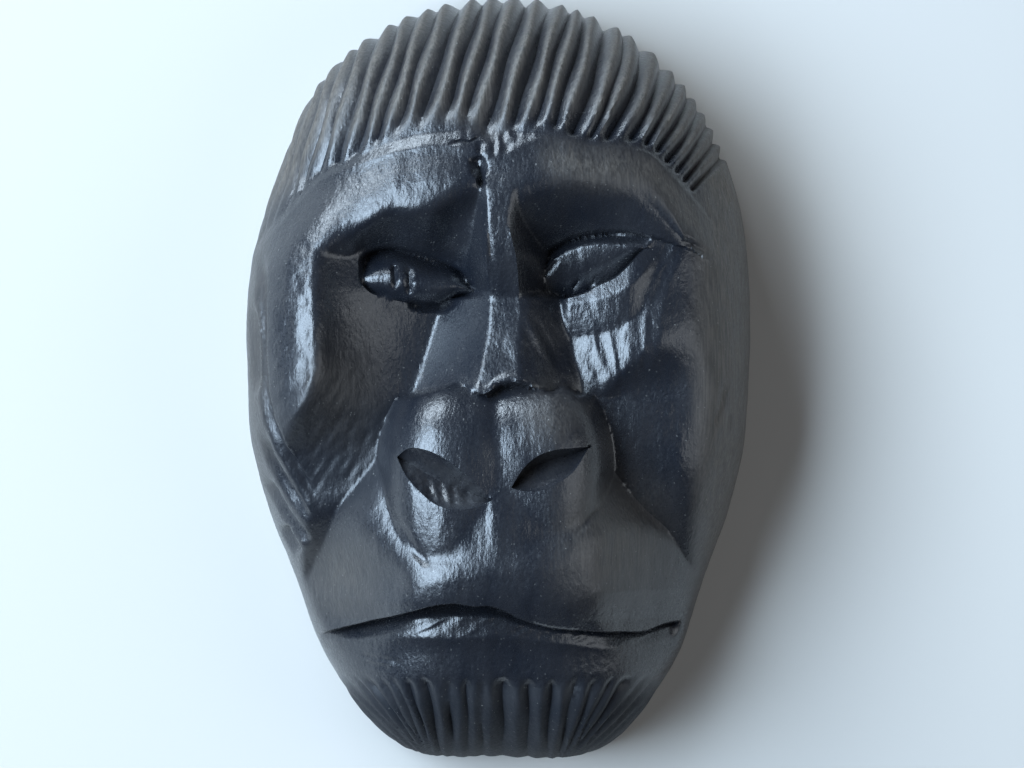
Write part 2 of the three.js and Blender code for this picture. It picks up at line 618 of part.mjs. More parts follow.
// Both sides of each sharp cut
function edgeTraces() {
  const over = (line, shifts, from = line[0][0], to = line[line.length - 1][0]) => (
    trace(shifts.map((shift) => (x) => [x, along(line, x) + shift(x)]), from, to, EDGE_STEP)
  );
  const beside = (line, to, shift = () => 0) => (
    trace([(y) => [along(line, y) - shift(y), y]], line[0][0], to, EDGE_STEP)
  );
  const on = () => 0;
  const eyes = EYES.flatMap(({ lid, top, low }) => {
    const [from, to] = [top[0][0], top[top.length - 1][0]];
    return [over(lid, [on, () => -0.4], from, to), over(top, [on]), over(low, [on, () => 0.35])];
  });
  const nostrilEdges = NOSTRILS.map(({ top, low, bottom }) => {
    const tall = (x) => along(top, x) - along(low, x);
    return over(low, [on, (x) => bottom * tall(x), tall]);
  });
  return [
    over(HAIRLINE, [on, (x) => Math.max(along(HAIR_BEVEL, x), 0.4)]),
    ...eyes, ...nostrilEdges,
    over(UPPER_LIP, [on, () => -0.5]), over(LOWER_LIP, [on]),
    over(LEFT_BROW, [on]), over(RIGHT_BROW, [on]), over(LEDGE, [on, () => -0.8]),
    over(SCOOP, [on]),
    beside(LEFT_CREASE, 12), beside(RIGHT_CREASE, 12),
    beside(RIDGE_X, 32), beside(RIDGE_X, 32, (y) => along(RIDGE_WIDTH, y)),
  ].flat();
}

// Angles at which the scalloped rim is best followed by straight edges
function ringAngles(count) {
  const fine = 1440;
  const coarse = RIM_RADII.length;
  const points = Array.from({ length: fine + 1 }, (_, i) => rimPoint((2 * Math.PI * i) / fine).at);
  const furthest = (from, to) => {
    let worst = { error: -1, at: from };
    for (let i = from + 1; i < to; i += 1) {
      const f = (i - from) / (to - from);
      const chord = points[from].map((value, k) => value + (points[to][k] - value) * f);
      const error = Math.hypot(...chord.map((value, k) => value - points[i][k]));
      if (error > worst.error) worst = { error, at: i };
    }
    return { from, to, ...worst };
  };
  const spans = [];
  for (let i = 0; i < coarse; i += 1) {
    spans.push(furthest((i * fine) / coarse, ((i + 1) * fine) / coarse));
  }
  while (spans.length < count) {
    spans.sort((p, q) => q.error - p.error);
    const { from, to, at } = spans.shift();
    spans.push(furthest(from, at), furthest(at, to));
  }
  return spans.map((span) => (2 * Math.PI * span.from) / fine).sort((p, q) => p - q);
}

const turn = (p, q, r) => (q.a - p.a) * (r.b - p.b) - (q.b - p.b) * (r.a - p.a);

function insideCircle(p, q, r, s) {
  const rows = [p, q, r].map((v) => [v.a - s.a, v.b - s.b, (v.a - s.a) ** 2 + (v.b - s.b) ** 2]);
  const [[a, b, c], [d, e, f], [g, h, i]] = rows;
  return a * (e * i - f * h) - b * (d * i - f * g) + c * (d * h - e * g) > 1e-9;
}

class Facets {
  constructor(ring) {
    this.points = [chartPoint(0, 0), ...ring];
    this.triangles = ring.map((_, i) => {
      const count = ring.length;
      const next = (i + 1) % count;
      return {
        corners: [0, i + 1, next + 1],
        across: [null, next, (i + count - 1) % count],
        samples: [],
        worst: null,
      };
    });
    for (const triangle of this.triangles) {
      triangle.across = triangle.across.map((i) => (i === null ? null : this.triangles[i]));
    }
  }

  contains(triangle, sample) {
    const [p, q, r] = triangle.corners.map((i) => this.points[i]);
    return turn(p, q, sample) >= 0 && turn(q, r, sample) >= 0 && turn(r, p, sample) >= 0;
  }

  error(triangle, sample) {
    const [p, q, r] = triangle.corners.map((i) => this.points[i]);
    const area = turn(p, q, r);
    const u = turn(q, r, sample) / area;
    const v = turn(r, p, sample) / area;
    const w = 1 - u - v;
    return Math.hypot(...sample.at.map((value, k) => value - u * p.at[k] - v * q.at[k] - w * r.at[k]));
  }

  // Gives each sample to the triangle it lies in and notes the worst of each triangle
  share(samples, triangles) {
    for (const triangle of triangles) {
      triangle.samples = [];
      triangle.worst = { error: 0, sample: null };
    }
    for (const sample of samples) {
      const home = triangles.find((triangle) => this.contains(triangle, sample));
      if (!home) continue;
      home.samples.push(sample);
      const error = this.error(home, sample);
      if (error > home.worst.error) home.worst = { error, sample };
    }
  }

  relink(triangle, before, after) {
    if (triangle) triangle.across[triangle.across.indexOf(before)] = after;
  }

  // Turns the edge across from the new point while the neighbour's far corner is too close
  settle(triangle, touched) {
    const other = triangle.across[0];
    touched.add(triangle);
    if (!other) return;
    const [p, q, r] = triangle.corners;
    const k = other.across.indexOf(triangle);
    const s = other.corners[k];
    if (!insideCircle(this.points[p], this.points[q], this.points[r], this.points[s])) return;
    const afterQ = other.across[(k + 1) % 3];
    const afterR = other.across[(k + 2) % 3];
    const [, pastQ, pastR] = triangle.across;
    touched.add(other);
    triangle.corners = [p, q, s];
    triangle.across = [afterQ, other, pastR];
    other.corners = [p, s, r];
    other.across = [afterR, pastQ, triangle];
    this.relink(afterQ, other, triangle);
    this.relink(pastQ, triangle, other);
    this.settle(triangle, touched);
    this.settle(other, touched);
  }

  insert(triangle, sample) {
    const n = this.points.push(sample) - 1;
    const [p, q, r] = triangle.corners;
    const [a, b, c] = triangle.across;
    const second = { corners: [n, r, p], across: [b, null, null], samples: [], worst: null };
    const third = { corners: [n, p, q], across: [c, null, null], samples: [], worst: null };
    triangle.corners = [n, q, r];
    triangle.across = [a, second, third];
    second.across = [b, third, triangle];
    third.across = [c, triangle, second];
    this.relink(b, triangle, second);
    this.relink(c, triangle, third);
    this.triangles.push(second, third);
    const touched = new Set();
    const pool = triangle.samples.filter((item) => item !== sample);
    [triangle, second, third].forEach((item) => this.settle(item, touched));
    const extra = [...touched].filter((item) => item !== triangle).flatMap((item) => item.samples);
    this.share([...pool, ...extra], [...touched]);
  }

  // Puts a point in unless another is already next to it
  add(point) {
    const home = this.triangles.find((triangle) => this.contains(triangle, point));
    if (!home) return;
    const near = (i) => Math.hypot(this.points[i].a - point.a, this.points[i].b - point.b);
    if (home.corners.every((i) => near(i) > CLOSEST)) this.insert(home, point);
  }

  refine(samples, count) {
    this.share(samples, this.triangles);
    while (this.triangles.length < count) {
      let best = this.triangles[0];
      for (const triangle of this.triangles) {
        if (triangle.worst.error > best.worst.error) best = triangle;
      }
      this.insert(best, best.worst.sample);
    }
  }
}

// Even samples over the chart, but not by the traces, and not on the flutes they follow
function chartSamples(traces) {
  const isFluted = ([x, y]) => y > along(HAIRLINE, x) + 2.5 || y < BEARD_TOP_Y - 1;
  const cell = (a, b) => `${Math.floor(a / CLEAR)} ${Math.floor(b / CLEAR)}`;
  const taken = new Set();
  for (const { a, b } of traces) {
    for (const da of [-0.5, 0.5]) {
      for (const db of [-0.5, 0.5]) taken.add(cell(a + da * CLEAR, b + db * CLEAR));
    }
  }
  const samples = [];
  const far = REACH * (1 + SPREAD);
  for (let a = -far; a < far; a += SAMPLE_STEP) {
    for (let b = -far; b < far; b += SAMPLE_STEP) {
      const reach = Math.hypot(a, b) / rimRadius(Math.atan2(b, a));
      if (reach > 0.98 * (1 + SPREAD) || taken.has(cell(a, b))) continue;
      const sample = chartPoint(a, b);
      if (!isFluted(sample.at)) samples.push(sample);
    }
  }
  return samples;
}

// Back: from the widest ring down to the flat rim, and the scooped hollow inside it

const turnOf = ([x, y]) => ((Math.atan2(y, x) / (2 * Math.PI)) % 1 + 1) % 1;

// Triangles between two closed rings of points that both run anticlockwise from +X
function stitch(points, outer, inner, triangles) {
  let i = 0;
  let j = 0;
  while (i < outer.length || j < inner.length) {
    const nextOuter = i < outer.length ? turnOf(points[outer[(i + 1) % outer.length]]) || 1 : 2;
    const nextInner = j < inner.length ? turnOf(points[inner[(j + 1) % inner.length]]) || 1 : 2;
    const a = outer[i % outer.length];
    const b = inner[j % inner.length];
    if (i < outer.length && (j === inner.length || nextOuter <= nextInner)) {
      triangles.push([a, b, outer[(i + 1) % outer.length]]);
      i += 1;
    } else {
      triangles.push([a, b, inner[(j + 1) % inner.length]]);
      j += 1;
    }
  }
}

function ovalRing(points, count, half, z) {
  return Array.from({ length: count }, (_, i) => {
    const angle = (2 * Math.PI * i) / count;
    return points.push([half[0] * Math.cos(angle), half[1] * Math.sin(angle), z]) - 1;
  });
}

function addBack(points, ring, angles, triangles) {
  const foot = angles.map((angle) => {
    const radius = rimRadius(angle) - EDGE_INSET;
    return points.push([radius * Math.cos(angle), radius * Math.sin(angle), 0]) - 1;
  });
  stitch(points, ring, foot, triangles);
  let outer = foot;
  for (const tilt of HOLLOW_TILTS) {
    const t = (tilt * Math.PI) / 180;
    const half = HOLLOW_HALF.map((value) => value * Math.cos(t));
    const inner = ovalRing(points, BACK_POINTS, half, HOLLOW_DEPTH * Math.sin(t));
    stitch(points, outer, inner, triangles);
    outer = inner;
  }
  const top = points.push([0, 0, HOLLOW_DEPTH]) - 1;
  outer.forEach((point, i) => triangles.push([point, top, outer[(i + 1) % outer.length]]));
}

// Puts the middle of the box over the origin
function centred(geometry) {
  geometry.computeBoundingBox();
  const middle = geometry.boundingBox.getCenter(new THREE.Vector3());
  return geometry.translate(-middle.x, -middle.y, 0);
}

function maskGeometry() {
  const angles = ringAngles(RING_POINTS);
  const ring = angles.map(rimPoint);
  const front = new Facets(ring);
  const traces = [...fluteTraces(), ...edgeTraces()];
  traces.forEach((point) => front.add(point));
  front.refine(chartSamples(traces), FRONT_FACETS);
  const points = front.points.map((point) => point.at);
  const triangles = front.triangles.map((triangle) => triangle.corners);
  addBack(points, ring.map((_, i) => i + 1), angles, triangles);
  const geometry = new THREE.BufferGeometry();
  geometry.setAttribute("position", new THREE.Float32BufferAttribute(points.flat(), 3));
  geometry.setIndex(triangles.flat());
  return centred(geometry);
}

function stainedWood() {
  return new THREE.MeshStandardMaterial({ color: 0x1b1d22, roughness: 0.38, metalness: 0 });
}

function mask() {
  const mesh = new THREE.Mesh(maskGeometry(), stainedWood());
  mesh.name = "gorilla_mask";
  return mesh;
}

const group = new THREE.Group();
group.name = "carved_gorilla_mask";
group.add(mask());

export default group;
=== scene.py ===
import math

import bpy
import numpy as np
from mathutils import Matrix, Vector
from mathutils.geometry import delaunay_2d_cdt


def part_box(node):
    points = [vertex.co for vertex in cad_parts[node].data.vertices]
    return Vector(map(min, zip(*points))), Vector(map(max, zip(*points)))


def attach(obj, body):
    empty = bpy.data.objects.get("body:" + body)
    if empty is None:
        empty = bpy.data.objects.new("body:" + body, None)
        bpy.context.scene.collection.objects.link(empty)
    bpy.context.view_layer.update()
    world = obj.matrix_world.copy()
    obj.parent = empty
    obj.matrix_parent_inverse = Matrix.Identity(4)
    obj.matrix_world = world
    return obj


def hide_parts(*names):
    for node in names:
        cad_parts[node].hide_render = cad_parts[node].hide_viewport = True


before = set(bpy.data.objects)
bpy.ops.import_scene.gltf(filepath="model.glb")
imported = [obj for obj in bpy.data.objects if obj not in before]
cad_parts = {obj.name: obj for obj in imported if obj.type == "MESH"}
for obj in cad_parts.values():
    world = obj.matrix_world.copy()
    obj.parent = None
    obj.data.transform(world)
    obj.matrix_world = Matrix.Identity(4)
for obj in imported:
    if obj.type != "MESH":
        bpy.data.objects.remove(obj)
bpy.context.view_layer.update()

# A small gorilla mask carved in black-stained wood, lying face up on a pale table.
# Shapes are worked out in millimetres and given to Blender in metres.
# Z rises out of the face, +Y points to the hair, +X to the right of someone who looks at it.
MM = 0.001

# Block
EDGE_Z = 6              # the outline is widest at this height above the table
EDGE_INSET = 1.1        # the back is this much smaller than the outline
CROWN = [               # height of the rounded block over y
    (-56, 41), (-48, 42), (-41, 43.5), (-34.5, 46.5), (-27, 45.5), (-18, 44), (-9.5, 43),
    (-0.5, 41.5), (11.5, 40), (23, 39.6), (33.5, 39.6), (41, 40), (56, 40),
]
SQUARENESS = [          # exponent of the block's rounded section over y
    (-56, 2.5), (-46.5, 2.4), (-39, 2.1), (-27, 2.05), (-15.5, 2.2), (-3.5, 2.4), (11.5, 2.4),
    (26, 2.5), (38, 2.8), (56, 3),
]
LEFT_SHOULDER = 1.6     # added to that exponent at the left rim beside the eye
SHOULDER_Y = (7, 26)    # middle and half length of that place
SHOULDER_X = (-14, 16)  # it starts here and is full this much further out
RIM_RADII = [           # outline, one radius every 15 degrees from +X
    38.0, 39.5, 43.2, 48.2, 53.3, 56.7, 57.8, 56.5, 53.0, 46.6, 42.5, 39.4,
    38.0, 38.9, 40.4, 43.6, 50.9, 58.1, 57.9, 58.7, 51.8, 43.8, 40.4, 38.6,
]

# Hollow in the back
HOLLOW_HALF = (25, 40)
HOLLOW_DEPTH = 12

# Hair
HAIRLINE = [            # y over x
    (-37.4, 16.4), (-35, 20.2), (-32.6, 22.7), (-29.8, 25.9), (-26.2, 29.4), (-22.8, 30.7),
    (-19.4, 32), (-16.1, 33.1), (-12.6, 33.9), (-7.8, 34.2), (-4.6, 33.4), (-1.6, 32.2),
    (1.7, 33.3), (6.2, 35), (13.6, 33.9), (23.3, 32.2), (26.8, 28.7), (29.8, 25.4), (32.7, 21.4),
    (37.5, 15.1),
]
HAIR_BEVEL = [          # width of the sloped cut along the hairline, over x
    (-29.3, 0.5), (-23.4, 0.9), (-14.6, 1.6), (-7.2, 2.2), (-2, 3.9), (2.4, 2.4), (6.8, 0.8),
    (23.8, 0.6), (29.7, 0.5),
]
LEAST_BEVEL = 0.4
BEVEL_SLOPE = 0.3
HAIR_STEP = 0.15        # height of the step there, besides what the slope adds
HAIR_RETURN = (0.6, 9)  # share of the step that the hair comes back up by, and over what width
BROW_ROLL = 0.8         # how far the brow band bends down to the hairline
ROLL_WIDTH = 6
HAIR_ROW_Y = 41         # the crests below are spaced along this line
HAIR_CRESTS = [
    -36.2, -35, -33.8, -32.8, -31.7, -30.7, -29.7, -28.5, -26.9, -25.2, -23.2, -20.4, -17.8,
    -15.2, -12.5, -8.8, -5.6, -2.5, 1.4, 5.1, 7.9, 11, 15.1, 17.5, 21.2, 24.3, 26.8, 29.3,
    31.9, 34.4, 36.9, 39.4,
]
HAIR_LEAN = 0.28        # sideways run for each millimetre up
HAIR_RIGHT_LEAN = 0.17  # what the right side leans more, and how it bends
HAIR_RIGHT_BEND = 0.02
HAIR_WAVE = 0.14
HAIR_CUT = 0.4          # depth of a flute for each millimetre of its width
HAIR_ROUND = 1.35       # from 1, a plain V with sharp crests, to 2, round crests and thin grooves
HAIR_UNEVEN = 0.2       # share by which the depth varies
HAIR_TRIES = 12         # corrections until the flute at a place is found

# Beard
BEARD_TOP_Y = -45.2
BEARD_MEET = 24         # the outer flutes would meet this far below their tops
BEARD_CRESTS = [
    -29, -26.8, -24.6, -22.3, -20.7, -18.5, -16.7, -14.8, -12.7, -9.3, -6, -3.7, -1.4, 2.7,
    6.4, 9.8, 13.2, 15.8, 17.8, 20.8, 23.2, 25.7, 28,
]
BEARD_CUT = 0.26
BEARD_ROUND = 1.4
BEARD_WAVE = 0.12
BEARD_UNEVEN = 0.5
BEARD_TRIES = 16

# Middle ridge, from the brow down the nose bridge: its right edge over y
RIDGE_X = [
    (-15.2, 0.2), (-7.8, 0.9), (-1.2, 2.9), (3.9, 3), (11.3, 3), (17.2, 2.6), (23.1, 1.4),
    (29.7, 2.1), (32.7, 2),
]
RIDGE_WIDTH = [
    (-1.2, 6), (4.7, 4.8), (11.4, 4.2), (17.3, 4.4), (23.2, 3), (29.9, 3.9), (32.9, 3.9),
]
RIDGE_Z = [
    (-15.3, 38.6), (-7.9, 38.4), (-1.1, 38), (4.7, 36.3), (9.9, 35), (11.8, 34.6),
    (12.9, 35), (17.3, 36.7), (23.2, 38.2), (29.9, 39.2), (32.9, 40.2),
]
BRIDGE_TOP_Y = 12.2     # the nose bridge starts here, below the brow
RIDGE_TILT = 0.06       # slope of the top of the ridge, down to the left
BRIDGE_SLOPES = (0.92, 0.35)    # of the left and right side of the nose bridge
BROW_STEEPER = 1.2      # what both sides are steeper between the brows

# Creases beside the ridge, the nose and the muzzle: x over y
LEFT_CREASE = [
    (-33.2, -30.2), (-29.5, -28.7), (-24.4, -26.3), (-19.8, -24.2), (-14.8, -20.3),
    (-10.6, -17.1), (-6.4, -14.7), (-0.5, -12.6), (4.7, -9.3), (8.8, -7.2), (11.1, -5.2),
    (12.9, -4.3), (16.6, -6.2), (20.4, -6.7), (23.9, -5.3), (26.9, -3.5), (29.3, -2.6),
    (32.3, -2.2),
]
RIGHT_CREASE = [
    (-31.7, 30.8), (-27.2, 28.2), (-22.6, 25), (-19.8, 21.9), (-15.8, 18.5), (-12.4, 16),
    (-8.1, 13.9), (-4, 11.9), (1.3, 9.6), (7, 7.9), (10.7, 6.6), (12.6, 5), (15.2, 3.4),
    (18.9, 2.6), (24.1, 2), (30.8, 2),
]
LEFT_CREASE_Z = [
    (-36.1, 14), (-29.4, 18), (-24.3, 23.4), (-19.7, 27.3), (-14.7, 29.2), (-8.2, 30.2),
    (-1.2, 29.2), (4, 28), (7.7, 27.6), (11.4, 27.8), (13.6, 28.2), (26.2, 28.5),
]
RIGHT_CREASE_Z = [
    (-36.1, 14), (-29.4, 18.5), (-24.3, 23), (-19.7, 26.5), (-14.7, 28.7), (-8.2, 30),
    (-1.2, 30.2), (4, 30.5), (7.7, 30), (11.4, 28.8), (13.6, 28.2), (26.2, 28.5),
]

# Cheeks: the left rim that the floor rises to, x over y, and on the right the crest of the cheek
# bone, its height, the line under it, and the lower edge of the scoop beside the eye
LEFT_RIM = [
    (-26, -30.5), (-20, -29), (-14.7, -30.8), (-10.5, -32), (-7, -30.6), (-3.8, -28.4),
    (-0.5, -27), (6, -26.8), (14, -27.2), (20, -26.5),
]
LEFT_BOWL = 2.5         # from 1, a straight slope up to the rim, to 5, a flat floor and a wall
LOWER_BOWL = 1.3        # the same low down beside the nose
BOWL_Y = (6, 12)        # the one gives way to the other from this y down, over this length
SWELL = 0.8             # height of the low swelling of the floor below the left eye
SWELL_MIDDLE = (-19, 6.4)
SWELL_HALF = (14, 11.5)
LEFT_VALLEY = 1.2       # depth of the valley between the left socket's roof and the ridge
CHEEK_BONE = [(-1.4, 19.7), (1.7, 20.6), (4.3, 21.6), (8.1, 21.8), (12.8, 22.6), (19.3, 26)]
CHEEK_BONE_Z = [(-1.4, 32), (4.3, 32.7), (8.1, 32.4), (12.8, 31.4), (19.3, 30.3)]
BONE_SLOPE = 0.26       # down from the crest towards the nose
OUTER_SLOPE = 0.15      # and towards the rim
FLOOR_SLOPE = 0.03      # of the floor below the cheek bone, down from the nose
BONE_STEP = (4, 10)     # width of the step up to the bone, beside the nose and at the rim
CHEEK_LINE = [(9.1, -4.9), (11.3, -3.7), (15.8, -2.2), (20.9, 0.3), (28.3, 3.7)]
SCOOP = [(7.5, 5.4), (10, 5.5), (12, 5.8), (17.9, 7.4), (21.8, 10.4), (24, 12.6)]
SCOOP_WIDTH = 5.2       # from its lower edge up to the lid
SCOOP_RISE = 2
EDGE_ROUNDING = (1.6, 4)    # between the block and the hollows, on the left and on the right

# Lower edge of the brows, y over x
LEFT_BROW = [
    (-32, 13.2), (-28.8, 16.6), (-26.8, 18.5), (-22.6, 21.9), (-19.8, 22.8), (-16.1, 24.4),
    (-9.6, 25.1), (-6.8, 26.7), (-4, 28.4), (-2.4, 29.5), (2, 31),
]
RIGHT_BROW = [
    (-3, 27), (2.6, 27), (7.7, 28.4), (15.7, 28.9), (21, 27), (23.6, 24.4), (26.1, 21.6),
    (28, 19.4), (31, 15.5),
]

# Muzzle: its height over y
MUZZLE_Z = [
    (-42, 48), (-33.1, 45), (-27.2, 41.5), (-21.2, 39.4), (-15.3, 38), (-9.4, 36.8),
    (-2.3, 35.5),
]
MUZZLE_X = 4            # the muzzle is highest at this x
MUZZLE_RADIUS = 43      # of its curve from side to side
MUZZLE_SIDE = 1.3       # slope of its sides, up from the creases

# Eyes: lid crease, top and lower edge of the ball, all y over x, and the walls of the cuts there
LID_WALL = 0.45
LID_WALL_UP = 0.2       # share of that wall above the lid crease
TOP_WALL = 0.5
TOP_WALL_UP = 0.6
LOW_WALL = 0.35
LEFT_EYE = {
    "lid": [
        (-29.5, 11.4), (-25.1, 13.8), (-21.8, 16.2), (-20.3, 18), (-18.2, 19.1), (-16.2, 19.4),
        (-13.8, 19), (-9, 17.5), (-6.2, 16.2), (-3.7, 13.8), (-1.7, 12), (0.2, 11.4),
    ],
    "top": [
        (-20.9, 14.4), (-19.4, 16.2), (-17.8, 17.1), (-15.9, 17.6), (-12.8, 17.1), (-9.8, 16.1),
        (-6.5, 15.1), (-4.4, 13.5), (-2.8, 12.3),
    ],
    "low": [
        (-20.9, 14.4), (-19.4, 12.7), (-17, 11.8), (-14.2, 11.1), (-12, 10.8), (-9.5, 10.8),
        (-7.7, 11.3), (-6.3, 12), (-2.8, 12.3),
    ],
    "ends": (30, 29),
    "bulge": 2.4,
    "tilt": 0,
    "crease": 3.6,
}
RIGHT_EYE = {
    "lid": [
        (-2.8, 10.7), (0.2, 11.6), (1.8, 13.6), (4.4, 17.1), (7.2, 19.1), (10.6, 20.9),
        (14.3, 21.7), (18, 21.8), (21.7, 21.1), (24.6, 20.2), (26.9, 19.4), (28.7, 18.8),
        (31.4, 17.1),
    ],
    "top": [
        (1.7, 11.9), (4.4, 11.7), (5.1, 13.2), (6.1, 14.8), (7.5, 16.6), (9.5, 18.4),
        (11.9, 19.4), (15.8, 19.9), (19.2, 19.6), (21, 19.3), (22.8, 19.3),
    ],
    "low": [
        (1.7, 11.9), (4.4, 11.2), (7.2, 10.9), (10.1, 11.6), (12.3, 12.2), (14.8, 13.5),
        (17.7, 15), (19.5, 16.7), (21, 18.3), (22.8, 19.3),
    ],
    "ends": (27.8, 31),
    "bulge": 0.7,
    "tilt": 2.8,
    "crease": 3.4,
}

# Nose lobes: middle, half sizes outward, inward, up and down, top height
LOBES = [
    {"x": -6.8, "y": -12.6, "outward": 10, "inward": 15, "up": 12.4, "down": 24, "z": 41.3},
    {"x": 7.2, "y": -12, "outward": 8.6, "inward": 20, "up": 11.8, "down": 22, "z": 41},
]
LOBE_HEIGHT = 9
LOBE_TURN = 0.88        # share of the lobe at which its side becomes straight

# Nostrils: edges y over x, depth, and how far up from the lower edge the bottom lies
NOSTRILS = [
    {
        "top": [
            (-15, -11.8), (-13.7, -10.7), (-10.8, -10.7), (-8.6, -11.6), (-5.6, -13.7),
            (-2.7, -16.3), (-1.1, -18.2),
        ],
        "low": [
            (-15, -11.8), (-13.9, -14.1), (-12.2, -16.2), (-9.7, -18.5), (-6.4, -19.4),
            (-3.3, -19.2), (-1.1, -18.2),
        ],
        "depth": 3.4,
        "bottom": 0.5,
    },
    {
        "top": [
            (1.8, -16.3), (3.4, -13.7), (5.3, -11.9), (7.5, -10.9), (10.5, -10.5), (13.3, -10.3),
        ],
        "low": [
            (1.8, -16.3), (3.1, -16.7), (6.8, -16.5), (9, -15.4), (11.2, -13.7), (13.3, -10.3),
        ],
        "depth": 4.2,
        "bottom": 0.74,
    },
]

# Ledge where the bridge ends over the nose lobes, y over x
LEDGE = [
    (-13.8, -3.4), (-9, -2.1), (-6.4, -1.2), (-3.9, -1.9), (-2.4, -2.5), (0.2, -1.1),
    (3.4, -0.9), (5.2, -1.6), (7.9, -2.7), (9.8, -2.1), (11.5, -3),
]
LEDGE_LIP = (0.4, 1.8)  # height and width of the raised edge on it
LEDGE_DROP = 4
LEDGE_WALL = 0.8        # width over which it drops

# Mouth: edge of the upper lip and crest of the lower lip, y over x
UPPER_LIP = [
    (-29.2, -38.8), (-25.6, -38), (-21.9, -37), (-17.5, -35.8), (-13.8, -34.8), (-10.1, -33.7),
    (-6.4, -33.3), (-3.5, -33.7), (-1.6, -33.6), (0.5, -34.2), (3.2, -35.5), (6.8, -36.7),
    (12, -37.3), (17.9, -37.7), (22.3, -37.7), (24.4, -37), (28.2, -36.4),
]
LOWER_LIP = [
    (-29.3, -38.9), (-26.4, -39.3), (-23.4, -39.6), (-17.5, -39.2), (-11.6, -38.7), (-7.2, -39),
    (-4.2, -38.7), (3.2, -39), (9.1, -39.6), (17.9, -40.4), (24.6, -39.6), (27.5, -38.7),
    (29.8, -37.7),
]
LIP_OVERHANG = 4
LIP_WALL = 0.5          # width over which the upper lip drops
LIP_END_X = 31          # the overhang ends here
CHIN_RETURN = (0.5, 16)     # share of the overhang that the chin comes back by, over what height
MOUTH_SLOPE = 0.68      # of the mouth's floor, from the lower lip in under the upper lip
MOUTH_HALF = 28.6

# Whisker gouges along the left rim and on the lower cheek
WHISKERS = [
    [
        (-35.3, 19.2), (-35.3, 15), (-35.3, 3.6), (-34.9, -2.1), (-34.1, -6.3), (-32.3, -10.4),
        (-29.6, -14.6), (-26.2, -20),
    ],
    [(-36.8, 11.5), (-36.5, 4), (-36.3, -3.3)],
    [(-35.6, -7.5), (-34.1, -12.1), (-32.4, -15.1), (-30.3, -18.5), (-28, -21.5)],
    [(-35.4, -14.7), (-33.8, -17.4), (-32, -20.5), (-29.6, -23.5), (-28.2, -25)],
    [(-32.7, -22), (-31.2, -24.8), (-30, -26.8)],
]
WHISKER_WIDTH = 1
WHISKER_DEPTH = 1.2
WHISKER_CUTS = [(path, WHISKER_WIDTH, WHISKER_DEPTH) for path in WHISKERS]
WHISKER_ENDS = 0.25     # share of a gouge over which each end fades

# Fine cuts and cracks: path, half width, depth
CUT_ENDS = 0.2
TOOL_CUTS = [
    # between hair and brows
    ([(-7.6, 34.4), (-5.6, 34.9), (-4.2, 34.7), (-2.3, 35.8)], 0.3, 0.4),
    ([(-3.4, 32.6), (-2.9, 31), (-2.8, 29.6)], 1.5, 1.2),
    ([(-3, 31.5), (-2.7, 29.8), (-2.5, 27.8)], 0.8, 1.8),
    ([(-2.4, 29), (-2, 23.5), (-1.3, 20.2), (-1.1, 16)], 0.35, 0.2),
    # eyes
    ([(-15.6, 17), (-15.4, 13)], 0.6, 0.7),
    ([(-13.4, 16.4), (-13.2, 12)], 0.75, 0.7),
    ([(-14, 11), (-11, 10.3), (-8.4, 10.4), (-6.4, 11.4)], 0.9, 1.2),
    ([(10.6, 12.4), (12.4, 15.1)], 0.4, 0.3),
    ([(13.1, 12.6), (14.7, 14.9)], 0.4, 0.3),
    ([(4.9, 11.7), (6.6, 14.8), (9.1, 17.8)], 0.45, 0.3),
    # left nostril
    ([(-12.6, -14.6), (-11.6, -17.2)], 0.55, 0.25),
    ([(-10.8, -15), (-9.5, -18.4)], 0.6, 0.35),
    ([(-8.8, -15.4), (-7.9, -19)], 0.6, 0.35),
    ([(-6.9, -15.8), (-6.4, -19.3)], 0.6, 0.3),
    ([(-4.9, -16.6), (-4.4, -19)], 0.55, 0.25),
    # wings of the nose
    ([(15.1, -14), (14.9, -17), (13.5, -20.4), (11, -23.6)], 0.9, 0.3),
    ([(-16.4, -19), (-13.8, -23), (-11.6, -26.4), (-10.1, -28.1)], 0.9, 0.3),
    # over the beard
    ([(-21.3, -41.5), (-17.7, -42.1), (-14, -42.5)], 0.5, 0.25),
    ([(-20.5, -42.8), (-16, -43.4)], 0.45, 0.2),
    # right side
    ([(33.8, -0.6), (33, -4.5), (31.8, -8)], 0.8, 0.6),
    ([(34.6, -5), (33.9, -9)], 0.7, 0.6),
    ([(33.5, -12), (32.6, -18)], 1, 0.7),
]

# Tool marks: depth, middle and half sizes of their part of the face, direction in degrees, length
# and width of a mark, and seed
MARKS = [
    (0.2, (-25, -7), (12, 17), 58, 2.6, 0.8, 3),        # left cheek
    (0.12, (-29, 10), (7, 20), 0, 1.3, 1.6, 10),        # left rim
    (0.11, (16.5, 3.5), (10, 10), 100, 2.6, 0.6, 4),    # right cheek
    (0.3, (5.5, 4.5), (6, 8), 118, 4, 1.1, 7),          # nose bridge
]

